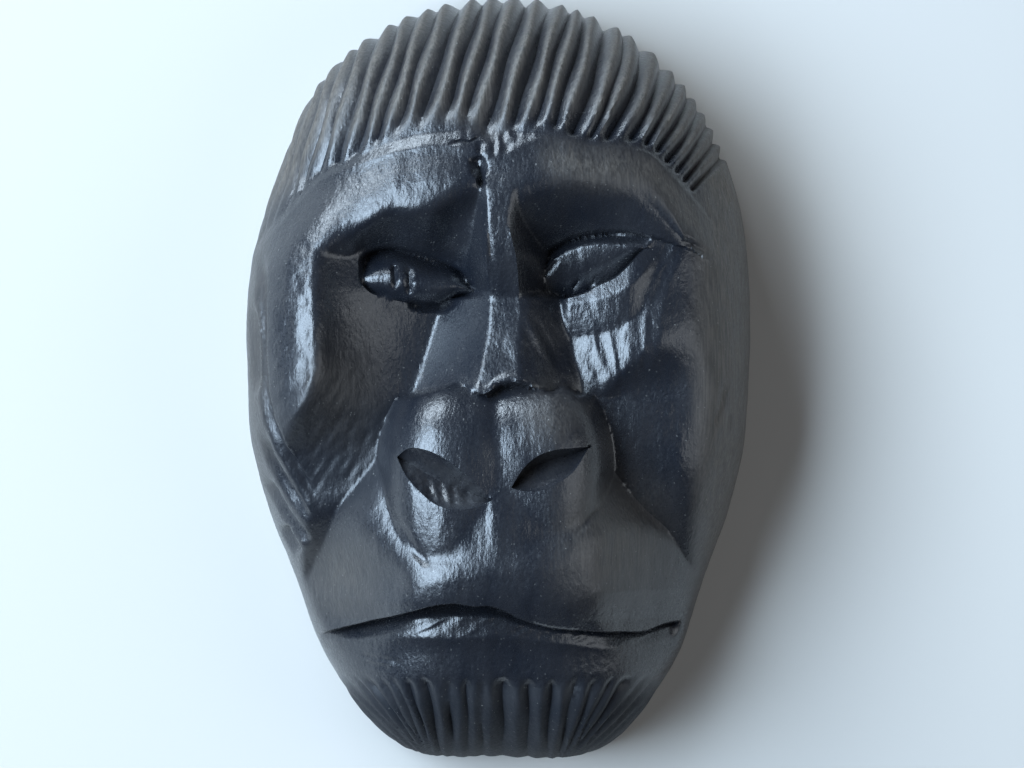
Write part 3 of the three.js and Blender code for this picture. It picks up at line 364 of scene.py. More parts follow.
# Mesh: a flat chart of the front, triangulated, and rings of points round the back
REACH = 60              # further than any point of the outline
SPREAD = 0.5            # how much the steep sides are spread out in the chart
FINE_STEP = 0.39        # between points on the face
COARSE_STEP = 0.55      # and round it
FACE_HALF = 30          # half the width of the face, and its lowest and highest y
FACE_Y = (-44, 34)
TRACE_STEP = 0.2        # between the places where a carved edge is worked out
FLUTE_STEP = 0.25       # and a flute
HAIR_LOW_Y = 12         # no flute of hair comes below this
LID_FOOT = 0.4          # a line this far below the lid crease, just past the foot of its wall
LINE_END = 0.985        # share of the way to the outline at which the lines stop
LINE_GAP = 0.6 * FINE_STEP  # kept free of other points beside a line
INSIDE_ONLY = 1         # leaves out triangles past the outline
MERGED_WITHIN = 1e-4
RIM_POINTS = 720
EDGE_RINGS = [          # shares of the way down and in to the foot, and the rounding there
    (0.45, 0.45, 0), (0.9, 0.9, 0), (0.97, 0.97, 0.1), (1, 1, 0.35),
]
HOLLOW_TILTS = (0, 4, 12, 25, 38, 50, 62, 72, 82)   # rings of the hollow, in degrees up its wall
SHARP_ANGLE = 50        # degrees

# Places where the polish is gone, and on the left cheek a painted sheen: how far, middle, half
# sizes
DULL_AND_PAINTED_SHEEN_PATCHES = [
    (0.55, (17, -24), (13, 13)),    # right of the muzzle
    # the left cheek's patch is a painted sheen: dust colour that lightens the cheek as if it
    # caught the light
    (0.35, (-24, -2), (8, 12)),     # left cheek
    (0.4, (-24, -30), (9, 9)),      # left of the muzzle
    (0.4, (8, -6), (7, 7)),         # over the right nostril
]
LESS_SHINE = (0.45, (-24, -9), (13, 15))    # the same for the gloss of the left cheek
BACK_DULLNESS = 0.8
BACK_SHINE = 0.5

# Colors and gloss of the wood, each at both ends of the texture that it varies with
STAIN = ((0.008, 0.010, 0.015), (0.017, 0.018, 0.022))
# the dust colour also paints a sheen on the left cheek
DUST_AND_PAINTED_SHEEN = ((0.042, 0.034, 0.026), (0.120, 0.102, 0.084))
PALE = ((0.4, 0.4, 0.38), (0.3, 0.28, 0.25))    # flecks
SPECULAR = (0.3, 0.75)  # without polish and with it
POLISHED = (0.2, 0.36)  # roughness, as is the next one
MATTE = (0.6, 0.8)
COLOR_SOCKETS = (6, 7)  # color inputs of a mix node
COLOR_RESULT = 2        # and its color output

# Table, light and camera
TABLE_SIZE = 6          # metres
TABLE_COLOR = (0.56, 0.53, 0.49, 1)
TABLE_ROUGHNESS = 0.9
ROOM_COLOR = (0.80, 0.86, 1.0, 1)
ROOM_STRENGTH = 0.06
LIT_PLACE = (0, 0, 0.02)    # metres, as are the places and sizes of the lights
LENS = 206              # millimetres again, as are the next two
SENSOR = 36
CAMERA_AT = (1.93, -0.87, 900)


# Curves and blends

def ease(value):
    t = np.clip(value, 0, 1)
    return t * t * (3 - 2 * t)


def bump(value):
    t = np.clip(np.abs(value), 0, 1)
    return (1 - t * t) ** 2


def patch(x, y, middle, half):
    """1 in the middle of a patch, falling to 0 at its half sizes along x and y."""
    return bump((x - middle[0]) / half[0]) * bump((y - middle[1]) / half[1])


def soft_min(a, b, reach):
    """The lower of two heights, rounded where they come within the reach of each other."""
    h = np.clip(0.5 + 0.5 * (b - a) / reach, 0, 1)
    return b + (a - b) * h - reach * h * (1 - h)


def soft_max(a, b, reach):
    return -soft_min(-a, -b, reach)


def along(points, position):
    """Smooth curve through (position, value) points, flat past both ends."""
    x, y = np.array(points, float).T
    run = np.diff(x)
    rise = np.diff(y) / run
    slope = np.empty(len(x))
    slope[0], slope[-1] = rise[0], rise[-1]
    slope[1:-1] = (rise[:-1] * run[1:] + rise[1:] * run[:-1]) / (run[:-1] + run[1:])
    at = np.clip(position, x[0], x[-1])
    i = np.clip(np.searchsorted(x, at, side="right") - 1, 0, len(run) - 1)
    h = run[i]
    f = (at - x[i]) / h
    return (
        (1 + 2 * f) * (1 - f) ** 2 * y[i] + f * (1 - f) ** 2 * h * slope[i]
        + f * f * (3 - 2 * f) * y[i + 1] + f * f * (f - 1) * h * slope[i + 1]
    )


def near_path(path, x, y):
    """Distance from a polyline, and how far along it the nearest point is, from 0 to 1."""
    distance = np.full(np.shape(x), np.inf)
    share = np.zeros(np.shape(x))
    spans = len(path) - 1
    for i, ((ax, ay), (bx, by)) in enumerate(zip(path, path[1:])):
        dx, dy = bx - ax, by - ay
        t = np.clip(((x - ax) * dx + (y - ay) * dy) / (dx * dx + dy * dy), 0, 1)
        apart = np.hypot(x - ax - t * dx, y - ay - t * dy)
        closer = apart < distance
        distance = np.where(closer, apart, distance)
        share = np.where(closer, (i + t) / spans, share)
    return distance, share


def gouges(cuts, ends, x, y):
    """Depth of round cuts, each given by its path, half width and depth."""
    depth = 0
    for path, width, deep in cuts:
        distance, share = near_path(path, x, y)
        faded = ease(np.minimum(share, 1 - share) / ends)
        depth = np.maximum(depth, deep * faded * bump(distance / width))
    return depth


def flute_at(flute_x, guess, tries, x, y):
    """Position of the flute that runs through x at height y."""
    position = guess
    for _ in range(tries):
        position = position + x - flute_x(position, y)
    return position


def flute_depth(crests, position, power):
    """0 on the crests and 1 in the groove midway between two, times the flute's width."""
    crests = np.array(crests, float)
    i = np.clip(np.searchsorted(crests, position, side="right") - 1, 0, len(crests) - 2)
    width = crests[i + 1] - crests[i]
    f = np.clip((position - crests[i]) / width, 0, 1)
    return width * (1 - np.abs(2 * f - 1)) ** power


def grooves(crests):
    return [(first + second) / 2 for first, second in zip(crests, crests[1:])]


# The rounded block

def rim_radius(angle):
    """Smooth closed curve through the radii of the outline."""
    radii = np.array(RIM_RADII)
    count = len(radii)
    k = (angle / (2 * math.pi)) % 1 * count
    i = np.floor(k).astype(int)
    f = k - i
    a, b, c, d = (radii[(i + j) % count] for j in (-1, 0, 1, 2))
    return b + 0.5 * f * (c - a + f * (2 * a - 5 * b + 4 * c - d + f * (3 * (b - c) + d - a)))


def squareness(x, y):
    middle, half = SHOULDER_Y
    start, run = SHOULDER_X
    shoulder = LEFT_SHOULDER * bump((y - middle) / half) * ease((start - x) / run)
    return along(SQUARENESS, y) + shoulder


def block(x, y):
    """Height of the uncarved block, and the direction that its surface faces there."""
    radius = np.hypot(x, y)
    rim = rim_radius(np.arctan2(y, x))
    share = np.clip(radius / rim, 0, 1)
    power = squareness(x, y)
    rise = along(CROWN, y) - EDGE_Z
    level = np.maximum(1 - share ** power, 0) ** (1 / power)
    outward = share ** (power - 1) / rim
    upward = level ** (power - 1) / rise
    length = np.hypot(outward, upward)
    spoke = outward / length / np.maximum(radius, 1e-6)
    return EDGE_Z + rise * level, (x * spoke, y * spoke, upward / length)


# Carved features

def bevel_width(x):
    return np.maximum(along(HAIR_BEVEL, x), LEAST_BEVEL)


def hair_step(x, y):
    """How far the brow band and the hair lie below the block."""
    bevel = bevel_width(x)
    above = y - along(HAIRLINE, x)
    step = HAIR_STEP + BEVEL_SLOPE * bevel
    roll = BROW_ROLL * ease(above / ROLL_WIDTH + 1)
    share, width = HAIR_RETURN
    return roll + step * (np.clip(above / bevel, 0, 1) - share * ease((above - bevel) / width))


def left_cheek(x, y, out):
    """Floor of the left hollow, rising away from the crease to the rim."""
    rim = along(LEFT_RIM, y)
    low = along(LEFT_CREASE_Z, y)
    share = out / np.maximum(along(LEFT_CREASE, y) - rim, 2)
    swell = SWELL * patch(x, y, SWELL_MIDDLE, SWELL_HALF)
    start, run = BOWL_Y
    bowl = share ** (LEFT_BOWL + (LOWER_BOWL - LEFT_BOWL) * ease((start - y) / run))
    return low + (block(rim, y)[0] - low) * bowl + swell


def right_cheek(x, y, out):
    """Floor of the right hollow: a flat lower part, and above it the cheek bone."""
    low = along(RIGHT_CREASE_Z, y) - FLOOR_SLOPE * out
    across = x - along(CHEEK_BONE, y)
    slope = np.where(across < 0, BONE_SLOPE * across, -OUTER_SLOPE * across)
    crest = along(CHEEK_BONE_Z, y) + slope - 0.35 * bump(across / 2.5)
    scoop = np.clip((y - along(SCOOP, x)) / SCOOP_WIDTH, 0, 1)
    bone = crest + SCOOP_RISE * scoop * ease((x - SCOOP[0][0]) / 3) * ease((25 - x) / 6)
    inner, outer = BONE_STEP
    width = inner + (outer - inner) * ease((x - 17) / 8)
    above = y - along(CHEEK_LINE, x)
    return low + (bone - low) * ease(above / width + 0.5)


def eye_level(eye, x):
    """How far along the eye x is, from 0 to 1, and the height of the line between its ends."""
    first, last = eye["top"][0][0], eye["top"][-1][0]
    u = np.clip((x - first) / (last - first), 0, 1)
    return u, eye["ends"][0] + (eye["ends"][1] - eye["ends"][0]) * u


def eye_floor(eye, floor, x, y):
    """The cheek's floor with the eye cut into it."""
    u, level = eye_level(eye, x)
    lid, top, low = (along(eye[name], x) for name in ("lid", "top", "low"))
    t = np.clip((y - low) / np.maximum(top - low, 0.2), 0, 1)
    rounding = np.sqrt(np.maximum(1 - (2 * u - 1) ** 2, 0))
    ball = level + eye["bulge"] * (1 - (2 * t - 1) ** 2) * rounding - eye["tilt"] * (1 - t)
    down = np.clip((y - top) / np.maximum(lid - top, 0.3), 0, 1)
    crease = level - eye["crease"] * down * rounding ** 0.5
    target = crease + (ball - crease) * ease((top - y) / TOP_WALL + TOP_WALL_UP)
    inside = ease(np.minimum(u, 1 - u) / 0.06)
    cut = ease((y - low) / LOW_WALL) * ease((lid - y) / LID_WALL + LID_WALL_UP) * inside
    return floor + (target - floor) * cut


def brow_roof(eye, brow, x, y, top):
    """Roof of the socket, from the lid crease straight up to the lower edge of the brow."""
    lid = along(eye["lid"], x)
    _, level = eye_level(eye, x)
    up = (y - lid) / np.maximum(along(brow, x) - lid, 1)
    rise = top - level
    past = np.maximum(rise, 4) * np.maximum(up - 1, 0) - 30 * np.maximum(-up, 0)
    return level + rise * np.clip(up, 0, 1) + past


def ridge(x, y):
    back = along(RIDGE_X, y) - x
    width = along(RIDGE_WIDTH, y)
    above = ease((y - BRIDGE_TOP_Y) / 1.6 + 0.5)
    left_slope, right_slope = BRIDGE_SLOPES
    left_fall = left_slope + BROW_STEEPER * above
    fall = RIDGE_TILT * np.clip(back, 0, width) + left_fall * np.maximum(back - width, 0)
    right = np.maximum(-back, 0)
    right_fall = right_slope + 0.5 * ease(right / 6) + BROW_STEEPER * above
    return along(RIDGE_Z, y) - fall - right * right_fall


def ledge_lift(x, y):
    """What the end of the nose bridge is lifted by, and lowered by past the ledge."""
    above = y - along(LEDGE, x)
    ends = ease((x - LEDGE[0][0]) / 2) * ease((LEDGE[-1][0] - x) / 2)
    height, width = LEDGE_LIP
    drop = -LEDGE_DROP * ease(-above / LEDGE_WALL)
    return ends * np.where(above > 0, height * bump(above / width), drop)


def lobe(shape, x, y):
    """A dome whose sides become straight instead of upright."""
    is_outer = (x < shape["x"]) == (shape["x"] < 0)
    across = (x - shape["x"]) / np.where(is_outer, shape["outward"], shape["inward"])
    length = (y - shape["y"]) / np.where(y > shape["y"], shape["up"], shape["down"])
    rho = across * across + length * length
    turned = math.sqrt(1 - LOBE_TURN)
    straight = np.maximum(rho - LOBE_TURN, 0) / (2 * turned)
    return shape["z"] - LOBE_HEIGHT * (1 - np.sqrt(1 - np.minimum(rho, LOBE_TURN)) + straight)


def nose(x, y):
    right = lobe(LOBES[1], x, y) - np.maximum(-1 - x, 0)
    return soft_max(lobe(LOBES[0], x, y), right, 0.4 + 5 * ease((-15 - y) / 8))


def half_hollow(x, y, top, left):
    """Cheek, eye and socket roof on one side of the ridge, and the muzzle."""
    if left:
        eye, brow, crease_z = LEFT_EYE, LEFT_BROW, LEFT_CREASE_Z
        outside = along(LEFT_CREASE, y) - x
        cheek = left_cheek(x, y, np.maximum(outside, 0))
    else:
        eye, brow, crease_z = RIGHT_EYE, RIGHT_BROW, RIGHT_CREASE_Z
        outside = x - along(RIGHT_CREASE, y)
        cheek = right_cheek(x, y, np.maximum(outside, 0))
    floor = eye_floor(eye, cheek, x, y)
    roof = brow_roof(eye, brow, x, y, top)
    if left:
        roof = roof - LEFT_VALLEY * bump(outside / 5) * ease((29 - y) / 6)
    cap = along(MUZZLE_Z, y) - (x - MUZZLE_X) ** 2 / (2 * MUZZLE_RADIUS)
    side = along(crease_z, y) + MUZZLE_SIDE * np.maximum(-outside, 0)
    muzzle = soft_min(side, cap, 2.5)
    return soft_max(floor, roof, 0.5), muzzle - 40 * ease((y + 3.5) / 1.5)


def hollows(x, y, top):
    """Everything lower than the block between brow, rims and mouth."""
    left = x < along(RIDGE_X, y)
    left_floor, left_muzzle = half_hollow(x, y, top, True)
    right_floor, right_muzzle = half_hollow(x, y, top, False)
    z = np.where(left, left_floor, right_floor)
    muzzle = np.where(left, left_muzzle, right_muzzle)
    z = soft_max(z, ridge(x, y) + ledge_lift(x, y), 0.5)
    z = soft_max(z, muzzle, 0.8)
    blend = 0.35 + 2.5 * bump(x / 9) * ease((-16 - y) / 6)
    under_ledge = nose(x, y) - 6 * ease((y - along(LEDGE, x)) / 1.2)
    return soft_max(z, under_ledge, blend)


def nostrils(x, y):
    depth = 0
    for nostril in NOSTRILS:
        first, last = nostril["top"][0][0], nostril["top"][-1][0]
        u = np.clip(2 * (x - first) / (last - first) - 1, -1, 1)
        top, low = along(nostril["top"], x), along(nostril["low"], x)
        t = (y - low) / np.maximum(top - low, 0.2)
        bottom = nostril["bottom"]
        wall = np.clip(np.minimum((1 - t) / (1 - bottom), t / bottom), 0, 1)
        depth = depth + nostril["depth"] * wall ** 0.8 * (1 - u * u) ** 0.4
    return depth


def mouth(x, y):
    """How far everything below the upper lip lies back, and the groove between the lips."""
    upper, lower = along(UPPER_LIP, x), along(LOWER_LIP, x)
    open_by = np.maximum(upper - lower, 0.3)
    under = ease((upper - y) / LIP_WALL) * ease((MOUTH_HALF - np.abs(x)) / 3)
    back = LIP_OVERHANG * np.sqrt(np.maximum(1 - (x / LIP_END_X) ** 4, 0))
    t = np.clip((y - lower) / open_by, 0, 1)
    groove = open_by * (MOUTH_SLOPE * t ** 1.15 + 0.25 * bump((1 - t) / 0.4))
    share, run = CHIN_RETURN
    return under * (back * (1 - share * ease((upper - y) / run)) + groove)


# Flutes of hair and beard, cut square to the block like the whisker gouges

def hair_flute_x(position, y):
    """Sideways place of a hair flute at height y, from where it crosses the row."""
    up = y - HAIR_ROW_Y
    right = ease((position - 6) / 14)
    bend = HAIR_RIGHT_BEND * right * up * up
    wave = HAIR_WAVE * np.sin(0.5 * y + 0.9 * position)
    return position + (HAIR_LEAN + HAIR_RIGHT_LEAN * right) * up - bend + wave


def hair_flutes(x, y):
    above = y - along(HAIRLINE, x)
    guess = x - HAIR_LEAN * (y - HAIR_ROW_Y)
    position = flute_at(hair_flute_x, guess, HAIR_TRIES, x, y)
    smooth = bump((x + 6) / 18)
    fade = ease((above - 0.6 - 1.8 * smooth) / (1.8 + 4.5 * smooth))
    uneven = 1 + HAIR_UNEVEN * noise(position / 3, y / 8, 8)
    return HAIR_CUT * fade * uneven * flute_depth(HAIR_CRESTS, position, HAIR_ROUND)


def beard_flute_x(position, y):
    """Sideways place of a beard flute at height y. Only the outer ones lean in."""
    down = np.clip(BEARD_TOP_Y - y, -3, 14)
    wave = BEARD_WAVE * np.sin(0.7 * y + 1.3 * position)
    return position * (1 - down / BEARD_MEET * ease(np.abs(position) / 26)) + wave


def beard_flutes(x, y):
    share = np.hypot(x, y) / rim_radius(np.arctan2(y, x))
    start = ease((BEARD_TOP_Y - y + 1) / 2.5) * (0.25 + 0.75 * ease((1 - share) / 0.1))
    position = flute_at(beard_flute_x, x, BEARD_TRIES, x, y)
    uneven = 1 + BEARD_UNEVEN * noise(position / 2.3, y / 4, 9)
    return BEARD_CUT * start * uneven * flute_depth(BEARD_CRESTS, position, BEARD_ROUND)


# Unevenness left by the tools

def lattice(i, j, seed):
    """A steady random value from -1 to 1 for each whole i and j."""
    n = i * 374761393 + j * 668265263 + seed * 974634777
    n = (n ^ (n >> 13)) * 1274126177
    return ((n ^ (n >> 16)) & 0xFFFF) / 32767.5 - 1


def noise(u, v, seed):
    """The lattice's values, blended smoothly in between."""
    i, j = np.floor(u).astype(np.int64), np.floor(v).astype(np.int64)
    f, g = ease(u - i), ease(v - j)
    low = lattice(i, j, seed) * (1 - f) + lattice(i + 1, j, seed) * f
    high = lattice(i, j + 1, seed) * (1 - f) + lattice(i + 1, j + 1, seed) * f
    return low * (1 - g) + high * g


def marks(x, y, degrees, length, width, seed):
    """Noise in marks of one size that run in one direction."""
    c, s = math.cos(math.radians(degrees)), math.sin(math.radians(degrees))
    return noise((x * c + y * s) / length, (y * c - x * s) / width, seed)


def chatter(x, y):
    """Ripples all over, and tool marks in their own parts of the face."""
    depth = 0.09 * noise(x / 2.6, y / 6, 1) + 0.035 * noise(x / 0.9, y / 2.6, 2)
    for deep, middle, half, *shape in MARKS:
        depth = depth + deep * patch(x, y, middle, half) * marks(x, y, *shape)
    in_mouth = ease((along(UPPER_LIP, x) - y) / 0.8) * ease((y - along(LOWER_LIP, x)) / 0.8)
    depth = depth + 0.14 * in_mouth * marks(x, y, 27, 3.5, 0.6, 5)
    above = y - along(HAIRLINE, x)
    notch = ease(above / 0.4) * ease(3.6 - above) * bump((x + 0.5) / 8)
    return depth + 0.3 * notch * noise(x / 0.7, y / 2.4, 6)


def surface(x, y):
    """Points of the carved front over the plan places x and y, as rows of x, y, z."""
    top, normal = block(x, y)
    left, right = EDGE_ROUNDING
    rounding = left + (right - left) * ease((x - 14) / 12)
    z = soft_min(top - hair_step(x, y), hollows(x, y, top), rounding)
    z = z - nostrils(x, y) - mouth(x, y) - gouges(TOOL_CUTS, CUT_ENDS, x, y)
    whiskers = gouges(WHISKER_CUTS, WHISKER_ENDS, x, y)
    cut = hair_flutes(x, y) + beard_flutes(x, y) + whiskers + chatter(x, y)
    return np.stack([x - normal[0] * cut, y - normal[1] * cut, z - normal[2] * cut], axis=-1)


# Mesh

def from_chart(a, b):
    """Plan places of chart places."""
    angle = np.arctan2(b, a)
    reach = np.minimum(np.hypot(a, b) / rim_radius(angle), 1 + SPREAD)
    share = np.sin(np.arcsin((reach - SPREAD) / math.hypot(1, SPREAD)) + math.atan(SPREAD))
    radius = share * rim_radius(angle)
    return radius * np.cos(angle), radius * np.sin(angle)


def to_chart(x, y):
    share = np.clip(np.hypot(x, y) / rim_radius(np.arctan2(y, x)), 1e-6, 1)
    scale = 1 + SPREAD * (1 - np.sqrt(1 - share * share)) / share
    return x * scale, y * scale


def chart_line(x, y):
    """Even steps along a plan line, left out where it comes close to the outline."""
    a, b = to_chart(x, y)
    inside = np.hypot(a, b) / rim_radius(np.arctan2(b, a)) < LINE_END * (1 + SPREAD)
    a, b = a[inside], b[inside]
    if len(a) < 2:
        return np.empty((0, 2))
    length = np.concatenate([[0], np.cumsum(np.hypot(np.diff(a), np.diff(b)))])
    at = np.linspace(0, length[-1], max(int(length[-1] / FINE_STEP), 1) + 1)
    return np.column_stack([np.interp(at, length, a), np.interp(at, length, b)])


def flute_lines():
    """The groove of each flute, as a plan line."""
    y = np.arange(HAIR_LOW_Y, REACH, FLUTE_STEP)
    for groove in grooves(HAIR_CRESTS):
        x = hair_flute_x(groove, y)
        on_hair = y > along(HAIRLINE, x) + 1
        yield x[on_hair], y[on_hair]
    y = np.arange(-REACH, BEARD_TOP_Y + 1, FLUTE_STEP)
    for groove in grooves(BEARD_CRESTS):
        yield beard_flute_x(groove, y), y


def over(line, shift=0, ends=None):
    """A plan line that is given as y over x, from end to end."""
    first, last = ends or (line[0][0], line[-1][0])
    x = np.arange(first, last, TRACE_STEP)
    return x, along(line, x) + shift


def edge_lines():
    """Both sides of each sharp cut, as plan lines."""
    x, y = over(HAIRLINE)
    yield x, y
    yield x, y + bevel_width(x)
    for eye in (LEFT_EYE, RIGHT_EYE):
        ends = eye["top"][0][0], eye["top"][-1][0]
        yield over(eye["lid"], 0, ends)
        yield over(eye["lid"], -LID_FOOT, ends)
        yield over(eye["top"], TOP_WALL_UP * TOP_WALL)
        yield over(eye["top"], (TOP_WALL_UP - 1) * TOP_WALL)
        yield over(eye["low"])
        yield over(eye["low"], LOW_WALL)
    for nostril in NOSTRILS:
        x, low = over(nostril["low"])
        top = along(nostril["top"], x)
        for share in (0, nostril["bottom"], 1):
            yield x, low + share * (top - low)
    yield over(UPPER_LIP)
    yield over(UPPER_LIP, -LIP_WALL)
    yield over(LOWER_LIP)
    for line in (LEFT_CREASE, RIGHT_CREASE, RIDGE_X):
        y, x = over(line)
        yield x, y
    yield x - along(RIDGE_WIDTH, y), y
    yield over(LEFT_BROW)
    yield over(RIGHT_BROW)
    yield over(LEDGE)
    yield over(LEDGE, -LEDGE_WALL)
    yield over(SCOOP)


def cut_lines():
    """The bottom and both edges of each fine cut and whisker gouge."""
    for path, width, _ in [*TOOL_CUTS, *WHISKER_CUTS]:
        x, y = np.array(path, float).T
        dx, dy = np.gradient(x), np.gradient(y)
        length = np.hypot(dx, dy)
        for side in (-width, 0, width):
            yield x - side * dy / length, y + side * dx / length


def on_face(x, y):
    low, high = FACE_Y
    return (np.abs(x) < FACE_HALF) & (y > low) & (y < high)


def free_points(step, wanted):
    """Even points in staggered rows over the wanted parts of the chart."""
    far = REACH * (1 + SPREAD)
    rows = np.arange(-far, far, step * math.sqrt(0.75))
    a, row = np.meshgrid(np.arange(-far, far, step), np.arange(len(rows)))
    a, b = (a + step / 2 * (row % 2)).ravel(), rows[row].ravel()
    inside = np.hypot(a, b) < rim_radius(np.arctan2(b, a)) * (1 + SPREAD) - step
    a, b = a[inside], b[inside]
    kept = wanted(*from_chart(a, b))
    return np.column_stack([a[kept], b[kept]])


def away_from(points, taken, gap):
    """The points that have no taken point within about the gap of them."""
    cell = gap / 2
    half = REACH * (1 + SPREAD) + gap
    size = int(2 * half / cell) + 1

    def cells(places):
        return ((places + half) / cell).astype(int).T

    around = [(di, dj) for di in range(-2, 3) for dj in range(-2, 3) if math.hypot(di, dj) < 2.4]
    near = np.zeros((size, size), bool)
    i, j = cells(taken)
    for di, dj in around:
        near[np.clip(i + di, 0, size - 1), np.clip(j + dj, 0, size - 1)] = True
    i, j = cells(points)
    return points[~near[i, j]]


def chart_triangles():
    """Points of the chart, its triangles, and the points along the outline in order."""
    angle = np.arange(RIM_POINTS) * 2 * math.pi / RIM_POINTS
    radius = rim_radius(angle) * (1 + SPREAD)
    places = [np.column_stack([radius * np.cos(angle), radius * np.sin(angle)])]
    edges = [(i, (i + 1) % RIM_POINTS) for i in range(RIM_POINTS)]
    count = RIM_POINTS
    for x, y in [*edge_lines(), *flute_lines(), *cut_lines()]:
        line = chart_line(x, y)
        edges += [(count + i, count + i + 1) for i in range(len(line) - 1)]
        count += len(line)
        places.append(line)
    lines = np.concatenate(places)
    fine = free_points(FINE_STEP, on_face)
    coarse = free_points(COARSE_STEP, lambda x, y: ~on_face(x, y))
    free = away_from(np.concatenate([fine, coarse]), lines, LINE_GAP)
    given = [Vector(place) for place in np.concatenate([lines, free])]
    result = delaunay_2d_cdt(given, edges, [], INSIDE_ONLY, MERGED_WITHIN)
    found, _, triangles, origins, *_ = result
    ring = np.zeros(RIM_POINTS, int)
    for point, origin in enumerate(origins):
        for i in origin:
            if i < RIM_POINTS:
                ring[i] = point
    return np.array([tuple(point) for point in found]), np.array(triangles), ring


class Shell:
    """Points and faces of the closed mask, grown ring by ring round the back."""

    def __init__(self, points, faces):
        self.points = [points]
        self.faces = [faces.tolist()]
        self.count = len(points)

    def add(self, x, y, z):
        places = np.column_stack(np.broadcast_arrays(x, y, z))
        self.points.append(places)
        self.count += len(places)
        return np.arange(self.count - len(places), self.count)

    def join(self, outer, inner):
        """Faces between two rings, of which the inner one may have half as many points."""
        if len(outer) == 2 * len(inner):
            even, odd = outer[::2], outer[1::2]
            self.faces.append(np.column_stack([even, inner, odd]).tolist())
            after = np.roll(inner, -1), np.roll(even, -1)
            self.faces.append(np.column_stack([odd, inner, *after]).tolist())
        else:
            after = np.roll(inner, -1), np.roll(outer, -1)
            self.faces.append(np.column_stack([outer, inner, *after]).tolist())
        return inner

    def close(self, ring, x, y, z):
        top = np.full(len(ring), self.add([x], [y], [z])[0])
        self.faces.append(np.column_stack([ring, top, np.roll(ring, -1)]).tolist())


def add_back(shell, ring, edge):
    """From the widest ring down to the flat rim, and the scooped hollow inside it."""
    x, y = edge[:, 0], edge[:, 1]
    radius = np.hypot(x, y)
    foot = rim_radius(np.arctan2(y, x)) - EDGE_INSET
    outer = ring
    for down, share, inset in EDGE_RINGS:
        scale = (radius + (foot - radius) * share - inset) / radius
        outer = shell.join(outer, shell.add(x * scale, y * scale, EDGE_Z * (1 - down)))
    half_x, half_y = HOLLOW_HALF
    turn = np.arctan2(y[::2] / half_y, x[::2] / half_x)
    for tilt in HOLLOW_TILTS:
        across, up = math.cos(math.radians(tilt)), math.sin(math.radians(tilt))
        places = half_x * across * np.cos(turn), half_y * across * np.sin(turn)
        outer = shell.join(outer, shell.add(*places, HOLLOW_DEPTH * up))
    shell.close(outer, 0, 0, HOLLOW_DEPTH)


def dullness_and_painted_sheen(x, y):
    """Where the polish is gone and dust and bare wood show, and a painted sheen on the left
    cheek: 0 for polished, 1 for dull.
    """
    above = y - along(HAIRLINE, x)
    crests = 1 - np.clip(hair_flutes(x, y) / 0.7, 0, 1)
    hair = ease((above - 2) / 6) * (0.15 + 0.85 * crests)
    right_brow = 0.6 * bump((above + 3) / 5) * ease((x - 4) / 6)
    side = 0.8 * ease((x - 27) / 6) + 0.4 * ease((-x - 33) / 4)
    inside = 0.12 * ease(nostrils(x, y) / 1.5)
    # the left cheek's patch among these is a painted sheen
    patches = [amount * patch(x, y, *place) for amount, *place in DULL_AND_PAINTED_SHEEN_PATCHES]
    return np.max([hair, right_brow, side, inside, *patches], axis=0)


def shine(x, y):
    """How far the surface is polished: 1 on the face, less on the left cheek, 0 on the beard."""
    amount, *place = LESS_SHINE
    return 1 - ease((-44 - y) / 6) - amount * patch(x, y, *place)


def mask_mesh():
    """Points and faces of the closed mask, and how dull (with a painted sheen on the left cheek)
    and how polished each point is.
    """
    chart, triangles, ring = chart_triangles()
    x, y = from_chart(*chart.T)
    front = surface(x, y)
    shell = Shell(front, triangles)
    add_back(shell, ring, front[ring])
    points = np.concatenate(shell.points)
    looks = {"dull_and_painted_sheen": (dullness_and_painted_sheen(x, y), BACK_DULLNESS), "shine": (shine(x, y), BACK_SHINE)}
    values = {
        name: np.concatenate([on_front, np.full(len(points) - len(front), on_back)])
        for name, (on_front, on_back) in looks.items()
    }
    return points, [face for group in shell.faces for face in group], values


def carved_mask():
    """The mask as an object, in the middle of the solid's box."""
    points, faces, looks = mask_mesh()
    low, high = (np.array(corner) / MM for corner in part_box("gorilla_mask"))
    middle = (points.min(axis=0) + points.max(axis=0)) / 2
    shift = (low + high) / 2 - middle
    shift[2] = 0
    mesh = bpy.data.meshes.new("carved_mask")
    mesh.from_pydata(((points + shift) * MM).tolist(), [], faces)
    mesh.polygons.foreach_set("use_smooth", [True] * len(mesh.polygons))
    mesh.update()
    mesh.set_sharp_from_angle(angle=math.radians(SHARP_ANGLE))
    for name, values in looks.items():
        mesh.attributes.new(name, "FLOAT", "POINT").data.foreach_set("value", values)
    mask = bpy.data.objects.new("carved_mask", mesh)
    bpy.context.collection.objects.link(mask)
    return mask


# Materials

def new_material(name):
    material = bpy.data.materials.new(name)
    material.use_nodes = True
    shader = material.node_tree.nodes["Principled BSDF"]
    return material, material.node_tree, shader


def add(tree, kind, **settings):
    """A new node with its properties, and its unlinked sockets under their names."""
    node = tree.nodes.new(kind)
    for name, value in settings.items():
        if name in node.bl_rna.properties:
            setattr(node, name, value)
        else:
            node.inputs[name.replace("_", " ")].default_value = value
    return node


def stretched(tree, scale):
    """Object coordinates in millimetres, divided by the three lengths."""
    place = add(tree, "ShaderNodeTexCoord")
    mapping = add(tree, "ShaderNodeMapping")
    mapping.inputs["Scale"].default_value = [1 / MM / length for length in scale]
    tree.links.new(place.outputs["Object"], mapping.inputs["Vector"])
    return mapping.outputs["Vector"]


def texture(tree, scale, detail, rough=0.5):
    node = add(tree, "ShaderNodeTexNoise", Scale=1, Detail=detail, Roughness=rough)
    tree.links.new(stretched(tree, scale), node.inputs["Vector"])
    return node.outputs["Fac"]


def attribute(tree, name):
    return add(tree, "ShaderNodeAttribute", attribute_name=name).outputs["Fac"]


